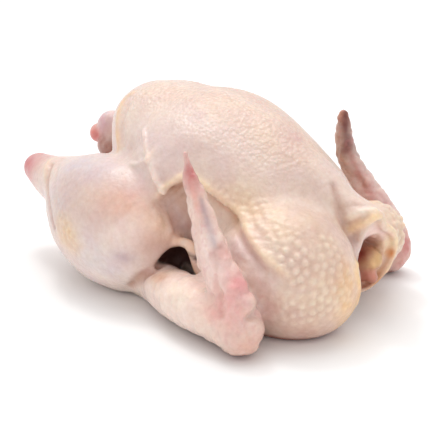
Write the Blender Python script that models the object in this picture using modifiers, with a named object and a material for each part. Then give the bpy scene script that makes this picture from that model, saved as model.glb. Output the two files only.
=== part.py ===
"""Whole raw chicken, plucked and without head or feet, lying on its back with the breast up.

Neck end towards +X, tail towards -X, near side towards -Y, up +Z.  One closed solid.

The form is a rounded union of simple bodies: ellipsoids for breast, thighs and shoulders, and
tubes of changing width for shanks, wings, neck web and skin folds.  Beads strung along each
body are joined by a voxel remesh, and the points of that mesh are then drawn onto the
rounded union itself, so every fold and fillet comes from the sizes below.
"""

import bmesh
import bpy
import numpy as np
from mathutils import Euler, Matrix, Vector

MM = 0.001

# Every size is in millimetres.  Ellipsoid: centre, half-axes, turn about Z, turn about Y (degrees).
TRUNK = [
    ((-8, 0, 63), (61, 57, 53), 0, 0, 0),
    ((-42, 0, 77), (32, 38, 35), 0, 0, 10),
    ((-47, 0, 91.4), (32, 31, 22), 0, 0, 14),
    ((-57, 0, 95), (15, 21, 15.5), 0, 0, 8),
    ((22, 0, 45), (64, 54, 53), 0, 0, 14),
]
SHOULDERS = [
    ((67, -29, 31), (42, 35, 38.5), 0, 0, 7),
    ((75, -23, 24), (31.5, 28, 27), 0, 0, 6),
    ((60, 26, 27), (36, 28, 28), 0, 0, 10),
]
THIGH = [
    ((-36, -49.5, 38.9), (43, 32.2, 40.3), 8, 0, 7),
    ((-63, -46, 38.5), (32.5, 27.5, 32), 0, 0, 14),
    ((-14, -54, 36), (23, 22, 25), 0, 0, 8),
]
FAR_KNUCKLE = [
    ((-125.5, 27, 72.5), (8, 9, 8.5), 0, 0, 3),
    ((-138.5, 27, 63.5), (6.5, 7, 6.5), 0, 0, 3),
    ((-124, 25, 57), (11, 9, 9), 0, 0, 4),
]

# Tubes: rows of x, y, z, radius; near side, mirrored for the far side unless given apart.
SHANK_NEAR = [(-53, -44, 49, 25), (-85, -41, 50, 20), (-109, -38, 50.5, 14.5), (-124, -35.5, 52, 11),
              (-130, -34.5, 53, 9.8)]
SHANK_FAR = [(-53, -44, 49, 25), (-85, -41, 52, 20), (-107, -36, 58, 15), (-121, -31, 65, 11.5),
             (-128, -29, 69, 10)]
UPPER_WING = [(14, -52, 11, 9), (42, -51, 22, 14.5), (77, -42, 34, 19)]
FOREARM_NEAR = [(-16, -49, 10, 11), (4, -59, 14.5, 12.3), (26, -68, 16.6, 13.2), (50, -73, 16, 12.8),
                (72, -75, 14.8, 12.4)]
FOREARM_FAR = [(-18, -48, 10, 11), (2, -58, 14, 12.3), (22, -66, 16.2, 13.4), (46, -72, 15.4, 13.2),
               (68, -73, 14.4, 12.6)]
THUMB_NEAR = [(79, -79, 18, 7), (73, -79, 34, 5.5), (61, -77.5, 47, 3)]
THUMB_FAR = [(77, -76, 16, 7), (71, -75.5, 34, 5), (59.5, -73, 51, 2.2)]
TAIL = [(-70, 0, 44, 22), (-92, 0, 37, 13), (-108, 0, 38, 7.5)]
NECK_WEB = [(30, 0, 84, 20), (60, 0, 73, 14), (84, 0, 63.5, 10.5), (97, 1, 61.5, 7.5), (101, 1.5, 60.5, 5.5)]
NECK_STUMP = [(60, 8, 34, 10), (84, 14, 31, 8), (93, 15.5, 30.5, 7)]
NECK_CORD = [(70, 6, 24, 7), (88, 14, 22, 4.8), (94, 15, 21, 4.2)]
SKIN_ARCH = [(-15, -50, 24, 4), (-7, -51, 32, 3.2), (2, -52, 38.5, 2.8), (9, -53, 40.5, 2.8),
             (17, -53, 41, 2.8), (21, -52, 37, 3.4), (26, -51, 27, 4)]

# Flattened tubes: rows of x, y, z, half-width, half-thickness, thin across the side of the bird.
HAND_NEAR = [(75, -76, 14, 12.3, 11), (68, -75, 29, 13.2, 9), (55, -73.5, 48, 11, 7),
             (44.7, -72.3, 71, 8.5, 5.5), (41, -72, 80, 6.9, 4.6), (38.2, -72, 87, 4.9, 3.8),
             (35.9, -72, 94, 2.5, 2.4), (34.8, -72, 99.5, 1.8, 1.8)]
HAND_FAR = [(71, -73, 13, 12.3, 11), (66, -72, 29, 13, 9), (54, -70.5, 48, 10.5, 7),
            (41, -69.5, 67, 7.6, 5.2), (36.6, -70, 80, 6.1, 4.2), (35.6, -70, 90, 4.7, 3.6),
            (35.6, -70, 96, 2.9, 2.8)]
HAND_THIN = (-0.2, -1.0, 0.1)

# Neck opening: a collar of skin cut off by a slanting plane, sunk a little inside its rim, with
# a deep round hollow in its lower half.
COLLAR_BALL = ((97, 13, 31), (25.8, 20.3, 22), 0, 0, 5)
COLLAR_TOP = [(107, 0.5, 57.5, 7.5), (98, 6, 46, 12), (90, 12, 35, 16)]
COLLAR_RIM = 4.2
COLLAR_SINK = 4.0
MOUTH_BALL = ((97, 11, 30), (21, 12.8, 13.8), 0, 0, 5)
MOUTH_TOP = [(104, 7, 44, 4.5), (97, 9, 38, 8), (90, 11, 32, 10)]
COLLAR_PLANE = ((0.948, -0.125, -0.292), 81.5)

# Pocket between thigh and wing, and the sunken flank above it.
POCKET = ((16, -52, 25), (18, 17, 12.5), 0, 12, 3)
FLANK_APEX = (15, 79)
FLANK_DEPTH = 8.5

VOXEL = 2.2
SETTLE_ROUNDS = 6
TRIANGLES = 7600
SKIN_COLOUR = (0.74, 0.52, 0.40, 1.0)


def mirrored(rows):
    """The same rows on the other side of the bird."""
    return [(row[0], -row[1], *row[2:]) for row in rows]


def mirrored_ball(ball):
    """The same ellipsoid on the other side, turned the other way about Z."""
    (x, y, z), half, about_z, about_y, blend = ball
    return ((x, -y, z), half, -about_z, about_y, blend)


def smooth_min(a, b, blend):
    """The smaller of two distances, rounded over where they are within blend of each other."""
    share = np.clip(0.5 + 0.5 * (b - a) / blend, 0.0, 1.0)
    return b + (a - b) * share - blend * share * (1.0 - share)


def smooth_max(a, b, blend):
    """The larger of two distances, rounded the same way."""
    return -smooth_min(-a, -b, blend)


def ease(start, end, value):
    """0 before start, 1 after end, with a smooth rise between."""
    share = np.clip((value - start) / (end - start), 0.0, 1.0)
    return share * share * (3.0 - 2.0 * share)


def turn(about_z, about_y):
    """Rotation matrix of an ellipsoid's own axes."""
    return np.array(Euler((0, np.radians(about_y), np.radians(about_z))).to_matrix())


def curve_through(rows, per_span=4):
    """Rows of a Catmull-Rom curve through the given rows, per_span steps in each span."""
    rows = np.asarray(rows, float)
    padded = np.vstack([2 * rows[0] - rows[1], rows, 2 * rows[-1] - rows[-2]])
    out = []
    for k in range(len(rows) - 1):
        a, b, c, d = padded[k:k + 4]
        for t in np.arange(per_span) / per_span:
            out.append(0.5 * (2 * b + (c - a) * t + (2 * a - 5 * b + 4 * c - d) * t**2
                              + (3 * b - a - 3 * c + d) * t**3))
    return np.array(out + [rows[-1]])


def ball_distance(points, ball):
    """Distance to an ellipsoid, exact on its surface."""
    centre, half, about_z, about_y, _ = ball
    local = (points - np.array(centre, float)) @ turn(about_z, about_y)
    half = np.array(half, float)
    scaled = np.linalg.norm(local / half, axis=1)
    slope = np.linalg.norm(local / half**2, axis=1)
    return scaled * (scaled - 1.0) / np.maximum(slope, 1e-9)


def balls_distance(points, balls, into=None):
    """Ellipsoids joined in turn, each with its own rounding."""
    for ball in balls:
        found = ball_distance(points, ball)
        into = found if into is None else smooth_min(into, found, ball[4])
    return into


def tube_distance(points, rows, thin=None):
    """Distance to a round tube of changing radius, or to a flat one when thin gives its thin way."""
    path = curve_through(rows)
    best = np.full(len(points), 1e9)
    for start, end in zip(path[:-1], path[1:]):
        along = end[:3] - start[:3]
        length = np.linalg.norm(along)
        along = along / length
        gap = points - start[:3]
        t = gap @ along
        if thin is None:
            flat = 1.0
            side = np.sqrt(np.maximum((gap**2).sum(axis=1) - t**2, 0.0))
            height = 0.0
        else:
            across = np.array(thin, float) - np.dot(thin, along) * along
            across = across / np.linalg.norm(across)
            height = gap @ across
            width = gap @ np.cross(along, across)
            share = np.clip(t / length, 0.0, 1.0)
            flat = start[3] / start[4] * (1 - share) + end[3] / end[4] * share
            side = np.sqrt(width**2 + (height * flat)**2)
        lean = np.clip((start[3] - end[3]) / length, -0.9, 0.9)
        near = np.clip(t - side * lean / np.sqrt(1 - lean**2), 0.0, length)
        radius = start[3] + (end[3] - start[3]) * near / length
        reach = np.sqrt(side**2 + (t - near)**2)
        found = reach - radius
        if thin is not None:
            slope = np.sqrt(width**2 + (height * flat**2)**2 + (t - near)**2) / np.maximum(reach, 1e-6)
            found = found / np.maximum(slope, 1.0)
        best = np.minimum(best, found)
    return best


def wing_distance(points, far):
    """Upper wing, forearm, raised hand and thumb of one wing."""
    place = mirrored if far else list
    near_rows, far_rows = (FOREARM_NEAR, HAND_NEAR, THUMB_NEAR), (FOREARM_FAR, HAND_FAR, THUMB_FAR)
    forearm, hand, thumb = far_rows if far else near_rows
    thin = (HAND_THIN[0], HAND_THIN[1] * (-1 if far else 1), HAND_THIN[2])
    found = tube_distance(points, place(UPPER_WING))
    found = smooth_min(found, tube_distance(points, place(forearm)), 6)
    found = smooth_min(found, tube_distance(points, place(hand), thin), 6)
    return smooth_min(found, tube_distance(points, place(thumb)), 2.5)


def leg_distance(points, far):
    """Thigh and shank of one leg; the far one ends in two knuckles."""
    found = balls_distance(points, [mirrored_ball(ball) for ball in THIGH] if far else THIGH)
    shank = mirrored(SHANK_FAR) if far else SHANK_NEAR
    found = smooth_min(found, tube_distance(points, shank), 10)
    return balls_distance(points, FAR_KNUCKLE, found) if far else found


def trunk_distance(points):
    """Breast and back, with the flank sunk in below a slanting V on each side."""
    x, y, z = points[:, 0], np.abs(points[:, 1]), points[:, 2]
    front = (x - FLANK_APEX[0]) * 0.45 + (z - FLANK_APEX[1]) * 0.89
    rear = (FLANK_APEX[0] - x) * 0.67 + (z - FLANK_APEX[1]) * 0.74
    below = -smooth_max(front, rear, 8)
    sunk = FLANK_DEPTH * ease(-1, 4, below) * ease(26, 44, y) * ease(98, 60, x)
    return balls_distance(points, TRUNK) + sunk


def collar_body(points):
    """The outer form of the collar before it is cut off."""
    return smooth_min(ball_distance(points, COLLAR_BALL), tube_distance(points, COLLAR_TOP), 5)


def collar_cut(points):
    """Height over the plane that the collar ends on."""
    return points @ np.array(COLLAR_PLANE[0]) - COLLAR_PLANE[1]


def mouth_distance(points):
    """The deep hollow, joined with the shallow one inside the rim."""
    deep = smooth_min(ball_distance(points, MOUTH_BALL), tube_distance(points, MOUTH_TOP), 5)
    shallow = smooth_max(collar_body(points) + COLLAR_RIM, -(collar_cut(points) + COLLAR_SINK), 2.5)
    return smooth_min(deep, shallow, 2.5)


def chicken_distance(points):
    """Distance in millimetres to the skin of the whole bird, negative inside."""
    found = trunk_distance(points)
    found = smooth_min(found, tube_distance(points, NECK_WEB), 12)
    found = smooth_min(found, balls_distance(points, SHOULDERS), 7)
    found = smooth_min(found, tube_distance(points, TAIL), 9)
    collar = smooth_max(collar_body(points), collar_cut(points), 3.5)
    found = smooth_min(found, collar, 4)
    for far in (False, True):
        place = mirrored if far else list
        pocket = mirrored_ball(POCKET) if far else POCKET
        found = smooth_min(found, leg_distance(points, far), 5)
        found = smooth_min(found, wing_distance(points, far), 6)
        found = smooth_max(found, -ball_distance(points, pocket), POCKET[4])
        found = smooth_min(found, tube_distance(points, place(SKIN_ARCH)), 3)
        forearm = place(FOREARM_FAR if far else FOREARM_NEAR)
        found = smooth_min(found, tube_distance(points, forearm), 3)
    found = smooth_max(found, -mouth_distance(points), 2.5)
    found = smooth_min(found, tube_distance(points, NECK_STUMP), 4)
    return smooth_min(found, tube_distance(points, NECK_CORD), 3)


def add_ball(mesh, ball):
    """One ellipsoid of the start shape."""
    centre, half, about_z, about_y, _ = ball
    place = Matrix.Translation(Vector(centre) * MM)
    place = place @ Euler((0, np.radians(about_y), np.radians(about_z))).to_matrix().to_4x4()
    place = place @ Matrix.Diagonal((*[h * MM for h in half], 1.0))
    bmesh.ops.create_icosphere(mesh, subdivisions=4, radius=1.0, matrix=place)


def add_tube(mesh, rows, thin=None):
    """One tube of the start shape, as beads along its curve."""
    path = curve_through(rows, 8)
    for row in path:
        if thin is None:
            bmesh.ops.create_icosphere(mesh, subdivisions=2, radius=row[3] * MM,
                                       matrix=Matrix.Translation(Vector(row[:3]) * MM))
            continue
        along = Vector(path[-1][:3] - path[0][:3]).normalized()
        across = Vector(thin)
        across = (across - across.dot(along) * along).normalized()
        axes = Matrix((along, across, along.cross(across))).transposed().to_4x4()
        size = Matrix.Diagonal((row[3] * MM, row[4] * MM, row[3] * MM, 1.0))
        place = Matrix.Translation(Vector(row[:3]) * MM) @ axes @ size
        bmesh.ops.create_icosphere(mesh, subdivisions=2, radius=1.0, matrix=place)


def new_object(name, mesh, collection):
    """A mesh object in the collection, from the bmesh."""
    data = bpy.data.meshes.new(name)
    mesh.to_mesh(data)
    mesh.free()
    made = bpy.data.objects.new(name, data)
    collection.objects.link(made)
    return made


def keep_result(body):
    """Replaces the object's mesh by what its modifiers make of it."""
    bpy.context.view_layer.update()
    graph = bpy.context.evaluated_depsgraph_get()
    done = bpy.data.meshes.new_from_object(body.evaluated_get(graph))
    old = body.data
    body.modifiers.clear()
    body.data = done
    bpy.data.meshes.remove(old)


def remesh(body):
    """Even closed skin round everything in the object."""
    modifier = body.modifiers.new("Even skin", "REMESH")
    modifier.mode = "VOXEL"
    modifier.voxel_size = VOXEL * MM
    modifier.adaptivity = 0.0
    keep_result(body)


def cut_out(body, cutter):
    """Takes the cutter out of the body."""
    modifier = body.modifiers.new("Hollow", "BOOLEAN")
    modifier.operation = "DIFFERENCE"
    modifier.solver = "EXACT"
    modifier.object = cutter
    keep_result(body)


def settle(body, rounds):
    """Draws the points onto the surface where chicken_distance is zero, evening them out on the way."""
    count = len(body.data.vertices)
    ends = np.empty(len(body.data.edges) * 2, np.int32)
    body.data.edges.foreach_get("vertices", ends)
    ends = ends.reshape(-1, 2)
    both = np.concatenate([ends[:, 0], ends[:, 1]])
    other = np.concatenate([ends[:, 1], ends[:, 0]])
    joined = np.bincount(both, minlength=count)
    points = np.empty(count * 3, np.float32)
    body.data.vertices.foreach_get("co", points)
    points = points.reshape(-1, 3).astype(float) / MM
    step = 0.2
    for turn_number in range(rounds):
        if turn_number < rounds - 2:
            around = [np.bincount(both, points[other, axis], count) / joined for axis in range(3)]
            points += 0.5 * (np.stack(around, axis=1) - points)
        here = chicken_distance(points)
        slope = np.empty_like(points)
        for axis in range(3):
            moved = points.copy()
            moved[:, axis] += step
            slope[:, axis] = (chicken_distance(moved) - here) / step
        steep = np.maximum((slope**2).sum(axis=1), 0.25)
        points -= slope * (np.clip(here, -2.0, 2.0) / steep)[:, None]
    body.data.vertices.foreach_set("co", (points * MM).astype(np.float32).ravel())
    body.data.update()


def start_shape(parts, cutters):
    """The joined primitives, with the neck opening and the two pockets cut out."""
    mesh = bmesh.new()
    for ball in TRUNK + SHOULDERS + FAR_KNUCKLE:
        add_ball(mesh, ball)
    for rows in (TAIL, NECK_WEB, SHANK_NEAR, mirrored(SHANK_FAR)):
        add_tube(mesh, rows)
    for far in (False, True):
        place = mirrored if far else list
        for ball in THIGH:
            add_ball(mesh, mirrored_ball(ball) if far else ball)
        hand = HAND_FAR if far else HAND_NEAR
        thin = (HAND_THIN[0], HAND_THIN[1] * (-1 if far else 1), HAND_THIN[2])
        add_tube(mesh, place(hand), thin)
        for rows in (UPPER_WING, THUMB_FAR if far else THUMB_NEAR):
            add_tube(mesh, place(rows))
    body = new_object("chicken", mesh, parts)
    collar = bmesh.new()
    add_ball(collar, COLLAR_BALL)
    add_tube(collar, COLLAR_TOP)
    collar = new_object("collar", collar, parts)
    remesh(collar)
    ring = bmesh.new()
    ring.from_mesh(collar.data)
    normal, offset = Vector(COLLAR_PLANE[0]), COLLAR_PLANE[1] * MM
    cut = bmesh.ops.bisect_plane(ring, geom=ring.verts[:] + ring.edges[:] + ring.faces[:],
                                 plane_co=normal * offset, plane_no=normal, clear_outer=True)
    edges = [item for item in cut["geom_cut"] if isinstance(item, bmesh.types.BMEdge)]
    bmesh.ops.edgenet_fill(ring, edges=edges)
    joined = bmesh.new()
    joined.from_mesh(body.data)
    ring.to_mesh(collar.data)
    ring.free()
    joined.from_mesh(collar.data)
    joined.to_mesh(body.data)
    joined.free()
    bpy.data.objects.remove(collar)
    remesh(body)
    hollow = bmesh.new()
    add_ball(hollow, MOUTH_BALL)
    add_tube(hollow, MOUTH_TOP)
    for ball in (POCKET, mirrored_ball(POCKET)):
        add_ball(hollow, ball)
    hollow = new_object("hollows", hollow, cutters)
    hollow.hide_render = True
    hollow.display_type = "WIRE"
    remesh(hollow)
    cut_out(body, hollow)
    inner = bmesh.new()
    inner.from_mesh(body.data)
    for rows in (NECK_STUMP, NECK_CORD, SKIN_ARCH, mirrored(SKIN_ARCH), FOREARM_NEAR, mirrored(FOREARM_FAR)):
        add_tube(inner, rows)
    inner.to_mesh(body.data)
    inner.free()
    remesh(body)
    return body


def stand_flat(body):
    """Cuts the underside off level, on the plane the bird rests on."""
    mesh = bmesh.new()
    mesh.from_mesh(body.data)
    cut = bmesh.ops.bisect_plane(mesh, geom=mesh.verts[:] + mesh.edges[:] + mesh.faces[:], dist=0.05 * MM,
                                 plane_co=(0, 0, 0), plane_no=(0, 0, -1), clear_outer=True)
    edges = [item for item in cut["geom_cut"] if isinstance(item, bmesh.types.BMEdge)]
    bmesh.ops.edgenet_fill(mesh, edges=edges)
    bmesh.ops.remove_doubles(mesh, verts=mesh.verts[:], dist=0.05 * MM)
    bmesh.ops.triangulate(mesh, faces=mesh.faces[:])
    bmesh.ops.recalc_face_normals(mesh, faces=mesh.faces[:])
    mesh.to_mesh(body.data)
    mesh.free()


def centre_on_origin(body):
    """Moves the mesh so that the middle of its base box is the origin."""
    corners = np.array([vertex.co[:] for vertex in body.data.vertices])
    low, high = corners.min(axis=0), corners.max(axis=0)
    middle = (low + high) / 2
    body.data.transform(Matrix.Translation((-middle[0], -middle[1], -low[2])))
    print("middle moved by", np.round(-middle[:2] / MM, 3), "size", np.round((high - low) / MM, 2))


def skin_material():
    """Pale moist skin."""
    made = bpy.data.materials.new("raw chicken skin")
    made.use_nodes = True
    shader = made.node_tree.nodes["Principled BSDF"]
    shader.inputs["Base Color"].default_value = SKIN_COLOUR
    shader.inputs["Roughness"].default_value = 0.42
    shader.inputs["Metallic"].default_value = 0.0
    return made


def main():
    for old in list(bpy.data.objects):
        bpy.data.objects.remove(old, do_unlink=True)
    parts = bpy.data.collections.new("whole raw chicken")
    cutters = bpy.data.collections.new("cutters")
    for collection in (parts, cutters):
        bpy.context.scene.collection.children.link(collection)
    cutters.hide_render = True
    body = start_shape(parts, cutters)
    settle(body, SETTLE_ROUNDS)
    remesh(body)
    settle(body, SETTLE_ROUNDS)
    thin_out = body.modifiers.new("Fewer faces", "DECIMATE")
    thin_out.ratio = TRIANGLES / (2 * len(body.data.vertices))
    keep_result(body)
    stand_flat(body)
    centre_on_origin(body)
    body.data.materials.clear()
    body.data.materials.append(skin_material())
    body.data.polygons.foreach_set("use_smooth", [True] * len(body.data.polygons))
    print(len(body.data.polygons), "faces")


main()
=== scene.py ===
# %% [markdown]
# # A whole raw chicken, breast up
# A plucked bird without head or feet lies on its back on a white worktop.  Everything shows on
# one unbroken skin: goose bumps, creases, thin places where the flesh shines through grey or
# red, and yellow fat under the thicker parts.  So this scene builds one fine skin over the
# plain solid from the model, paints it point by point, and lights it softly.

from math import cos, radians, sin

import bpy
import numpy as np
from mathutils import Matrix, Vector


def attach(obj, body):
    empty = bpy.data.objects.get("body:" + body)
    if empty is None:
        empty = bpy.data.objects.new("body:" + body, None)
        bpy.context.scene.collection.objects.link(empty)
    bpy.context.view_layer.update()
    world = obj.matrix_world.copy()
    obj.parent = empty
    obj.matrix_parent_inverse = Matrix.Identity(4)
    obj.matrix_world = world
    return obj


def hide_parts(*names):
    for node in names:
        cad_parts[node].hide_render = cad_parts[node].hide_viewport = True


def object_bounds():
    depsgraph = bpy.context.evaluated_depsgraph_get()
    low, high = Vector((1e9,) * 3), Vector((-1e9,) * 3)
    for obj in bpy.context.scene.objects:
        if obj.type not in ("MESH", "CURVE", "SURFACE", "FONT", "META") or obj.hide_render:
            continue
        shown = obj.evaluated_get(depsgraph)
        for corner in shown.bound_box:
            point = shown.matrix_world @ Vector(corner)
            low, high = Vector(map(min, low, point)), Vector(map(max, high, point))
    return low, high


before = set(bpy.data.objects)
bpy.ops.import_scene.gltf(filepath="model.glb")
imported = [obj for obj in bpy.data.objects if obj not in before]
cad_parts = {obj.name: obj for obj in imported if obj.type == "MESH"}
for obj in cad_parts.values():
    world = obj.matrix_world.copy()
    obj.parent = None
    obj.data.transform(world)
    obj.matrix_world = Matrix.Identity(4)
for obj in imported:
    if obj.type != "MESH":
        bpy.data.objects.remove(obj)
solid_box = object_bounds()
print("solid box in metres", [[round(v, 4) for v in corner] for corner in solid_box])

# %% [markdown]
# ## The sizes of the bird
# A chicken's skin has no edges, so a cage of faces is a poor start.  A rounded union of simple
# bodies is better: ellipsoids for breast, thighs and shoulders, tubes of changing width for
# shanks and wings.  Each size below is in millimetres, from the middle of the back.  An
# ellipsoid is its centre, its half-axes, its turn about Z and about Y, and the width of the
# fillet where it joins the rest.  A tube is rows of x, y, z and radius.

# %% Sizes of breast, thighs and shoulders
TRUNK = [
    ((-8, 0, 63), (61, 57, 53), 0, 0, 0),
    ((-42, 0, 77), (32, 38, 35), 0, 0, 10),
    ((-47, 0, 91.4), (32, 31, 22), 0, 0, 14),
    ((-57, 0, 95), (15, 21, 15.5), 0, 0, 8),
    ((22, 0, 45), (64, 54, 53), 0, 0, 14),
]
SHOULDERS = [
    ((67, -29, 31), (42, 35, 38.5), 0, 0, 7),
    ((75, -23, 24), (31.5, 28, 27), 0, 0, 6),
    ((60, 26, 27), (36, 28, 28), 0, 0, 10),
]
THIGH = [
    ((-36, -49.5, 38.9), (43, 32.2, 40.3), 8, 0, 7),
    ((-63, -46, 38.5), (32.5, 27.5, 32), 0, 0, 14),
    ((-14, -54, 36), (23, 22, 25), 0, 0, 8),
]
FAR_KNUCKLE = [
    ((-125.5, 27, 72.5), (8, 9, 8.5), 0, 0, 3),
    ((-138.5, 27, 63.5), (6.5, 7, 6.5), 0, 0, 3),
    ((-124, 25, 57), (11, 9, 9), 0, 0, 4),
]
print(len(TRUNK), "ellipsoids for the trunk,", len(SHOULDERS), "for the shoulders,", len(THIGH), "a thigh")

# %% [markdown]
# ## Shanks, wings, tail and neck as tubes
# A shank or a wing bone with its flesh is long and round, and its width changes along it.  It
# could be a curve with a bevel, but a curve joins nothing.  As a list of middles and radii it can
# be drawn through smoothly and blended with the body.  The two sides of a real bird never lie
# alike, so the near and the far wing and shank have their own rows.

# %% Sizes of shanks, wings, tail and neck
SHANK_NEAR = [(-53, -44, 49, 25), (-85, -41, 50, 20), (-109, -38, 50.5, 14.5), (-124, -35.5, 52, 11),
              (-130, -34.5, 53, 9.8)]
SHANK_FAR = [(-53, -44, 49, 25), (-85, -41, 52, 20), (-107, -36, 58, 15), (-121, -31, 65, 11.5),
             (-128, -29, 69, 10)]
UPPER_WING = [(14, -52, 11, 9), (42, -51, 22, 14.5), (77, -42, 34, 19)]
FOREARM_NEAR = [(-16, -49, 10, 11), (4, -59, 14.5, 12.3), (26, -68, 16.6, 13.2), (50, -73, 16, 12.8),
                (72, -75, 14.8, 12.4)]
FOREARM_FAR = [(-18, -48, 10, 11), (2, -58, 14, 12.3), (22, -66, 16.2, 13.4), (46, -72, 15.4, 13.2),
               (68, -73, 14.4, 12.6)]
THUMB_NEAR = [(79, -79, 18, 7), (73, -79, 34, 5.5), (61, -77.5, 47, 3)]
THUMB_FAR = [(77, -76, 16, 7), (71, -75.5, 34, 5), (59.5, -73, 51, 2.2)]
TAIL = [(-70, 0, 44, 22), (-92, 0, 37, 13), (-108, 0, 38, 7.5)]
NECK_WEB = [(30, 0, 84, 20), (60, 0, 73, 14), (84, 0, 63.5, 10.5), (97, 1, 61.5, 7.5),
            (101, 1.5, 60.5, 5.5)]
NECK_STUMP = [(60, 8, 34, 10), (84, 14, 31, 8), (93, 15.5, 30.5, 7)]
NECK_CORD = [(70, 6, 24, 7), (88, 14, 22, 4.8), (94, 15, 21, 4.2)]
SKIN_ARCH = [(-15, -50, 24, 4), (-7, -51, 32, 3.2), (2, -52, 38.5, 2.8), (9, -53, 40.5, 2.8),
             (17, -53, 41, 2.8), (21, -52, 37, 3.4), (26, -51, 27, 4)]
print("near shank", 2 * SHANK_NEAR[0][3], "mm thick in the thigh,", 2 * SHANK_NEAR[-1][3], "mm at its end")

# %% [markdown]
# ## The hand of the wing
# The last joint of a wing is flat, like a mitten, and stands up beside the breast.  Its rows
# have two radii, along the mitten and through it, and one direction says which way is thin.

# %% Sizes of the raised hands
HAND_NEAR = [(75, -76, 14, 12.3, 11), (68, -75, 29, 13.2, 9), (55, -73.5, 48, 11, 7),
             (44.7, -72.3, 71, 8.5, 5.5), (41, -72, 80, 6.9, 4.6), (38.2, -72, 87, 4.9, 3.8),
             (35.9, -72, 94, 2.5, 2.4), (34.8, -72, 99.5, 1.8, 1.8)]
HAND_FAR = [(71, -73, 13, 12.3, 11), (66, -72, 29, 13, 9), (54, -70.5, 48, 10.5, 7),
            (41, -69.5, 67, 7.6, 5.2), (36.6, -70, 80, 6.1, 4.2), (35.6, -70, 90, 4.7, 3.6),
            (35.6, -70, 96, 2.9, 2.8)]
HAND_THIN = (-0.2, -1.0, 0.1)
print("near hand stands", HAND_NEAR[-1][2] - HAND_NEAR[0][2], "mm high from wrist to tip")

# %% [markdown]
# ## The neck opening
# Where the neck was cut, the skin hangs as a short collar, and the end of the neck shows in the
# hollow.  The collar is an ellipsoid and a tube, cut off by a slanting plane.  The hollow is the
# same form made smaller, with a deeper one behind it, and both are taken out of the bird.

# %% Sizes of the neck opening
COLLAR_BALL = ((97, 13, 31), (25.8, 20.3, 22), 0, 0, 5)
COLLAR_TOP = [(107, 0.5, 57.5, 7.5), (98, 6, 46, 12), (90, 12, 35, 16)]
COLLAR_RIM = 4.2
COLLAR_SINK = 4.0
MOUTH_BALL = ((97, 11, 30), (21, 12.8, 13.8), 0, 0, 5)
MOUTH_TOP = [(104, 7, 44, 4.5), (97, 9, 38, 8), (90, 11, 32, 10)]
COLLAR_PLANE = ((0.948, -0.125, -0.292), 81.5)
mouth_half = MOUTH_BALL[1]
print("neck opening", 2 * mouth_half[2], "mm high and", 2 * mouth_half[1], "mm wide, before its upper part")

# %% [markdown]
# ## From sizes to a distance
# The bird's surface is where one number, the distance to the skin, is zero.  It is worked out
# for a whole array of points at once.  Where two bodies meet, the smaller distance would leave
# a hard crease, so it is blended over the width of the fillet, as skin draws over a joint.

# %% Blends and curves
def smooth_min(a, b, blend):
    """b + (a - b) s - blend s (1 - s), where s is a half plus (b - a) / (2 blend), held to 0..1."""
    share = np.clip(0.5 + 0.5 * (b - a) / blend, 0.0, 1.0)
    return b + (a - b) * share - blend * share * (1.0 - share)


def smooth_max(a, b, blend):
    """Minus smooth_min(-a, -b)."""
    return -smooth_min(-a, -b, blend)


def ease(start, end, value):
    """3 s^2 - 2 s^3, where s runs from 0 at start to 1 at end."""
    share = np.clip((value - start) / (end - start), 0.0, 1.0)
    return share * share * (3.0 - 2.0 * share)


def turn(about_z, about_y):
    """Rotation about Z after rotation about Y, as a matrix of cosines and sines."""
    z, y = radians(about_z), radians(about_y)
    round_z = np.array([[cos(z), -sin(z), 0], [sin(z), cos(z), 0], [0, 0, 1]])
    return round_z @ np.array([[cos(y), 0, sin(y)], [0, 1, 0], [-sin(y), 0, cos(y)]])


def curve_through(rows, per_span=4):
    """Catmull-Rom curve: in each span, the cubic through b and c whose slopes are (c-a)/2 and (d-b)/2."""
    rows = np.asarray(rows, float)
    padded = np.vstack([2 * rows[0] - rows[1], rows, 2 * rows[-1] - rows[-2]])
    a, b, c, d = padded[:-3, None], padded[1:-2, None], padded[2:-1, None], padded[3:, None]
    t = (np.arange(per_span) / per_span)[None, :, None]
    cubic = 2 * b + (c - a) * t + (2 * a - 5 * b + 4 * c - d) * t**2 + (3 * b - a - 3 * c + d) * t**3
    return np.vstack([0.5 * cubic.reshape(-1, rows.shape[1]), rows[-1]])


def mirrored(rows):
    """The same rows on the other side of the bird: y changes sign."""
    return [(row[0], -row[1], *row[2:]) for row in rows]


def mirrored_ball(ball):
    """The same ellipsoid on the other side."""
    (x, y, z), half, about_z, about_y, blend = ball
    return ((x, -y, z), half, -about_z, about_y, blend)


print("tube curve", curve_through(SHANK_NEAR).shape[0], "rows along the near shank")

# %% [markdown]
# ## Distances to ellipsoids and tubes
# The true distance to an ellipsoid has no short formula.  Its length in units of the half-axes,
# divided by how fast that length grows, is close enough near the surface.  A tube is a chain of
# cones, and a point's distance to it is the least of its distances to the cones.

# %% Distance to ellipsoids
def ball_distance(points, ball):
    """k (k - 1) / slope, where k is the length of the point in units of the half-axes."""
    centre, half, about_z, about_y, _ = ball
    local = (points - np.array(centre, np.float32)) @ turn(about_z, about_y).astype(np.float32)
    half = np.array(half, np.float32)
    scaled = np.sqrt(((local / half) ** 2).sum(axis=1))
    slope = np.sqrt(((local / half**2) ** 2).sum(axis=1))
    return scaled * (scaled - 1.0) / np.maximum(slope, 1e-9)


def balls_distance(points, balls, into=None):
    """Ellipsoids joined in turn by smooth_min, each with its own fillet."""
    for ball in balls:
        found = ball_distance(points, ball)
        into = found if into is None else smooth_min(into, found, ball[4])
    return into


over_breast = np.array([[-8.0, 0.0, 126.0]], np.float32)
print("10 mm over the trunk's first body it reads", ball_distance(over_breast, TRUNK[0]).round(1), "mm")

# %% Distance to tubes
# FAR_OFF stands for every distance too large to matter, and STEEPEST is a cone's steepest slope.
FAR_OFF = 30.0
STEEPEST = 0.9


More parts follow.
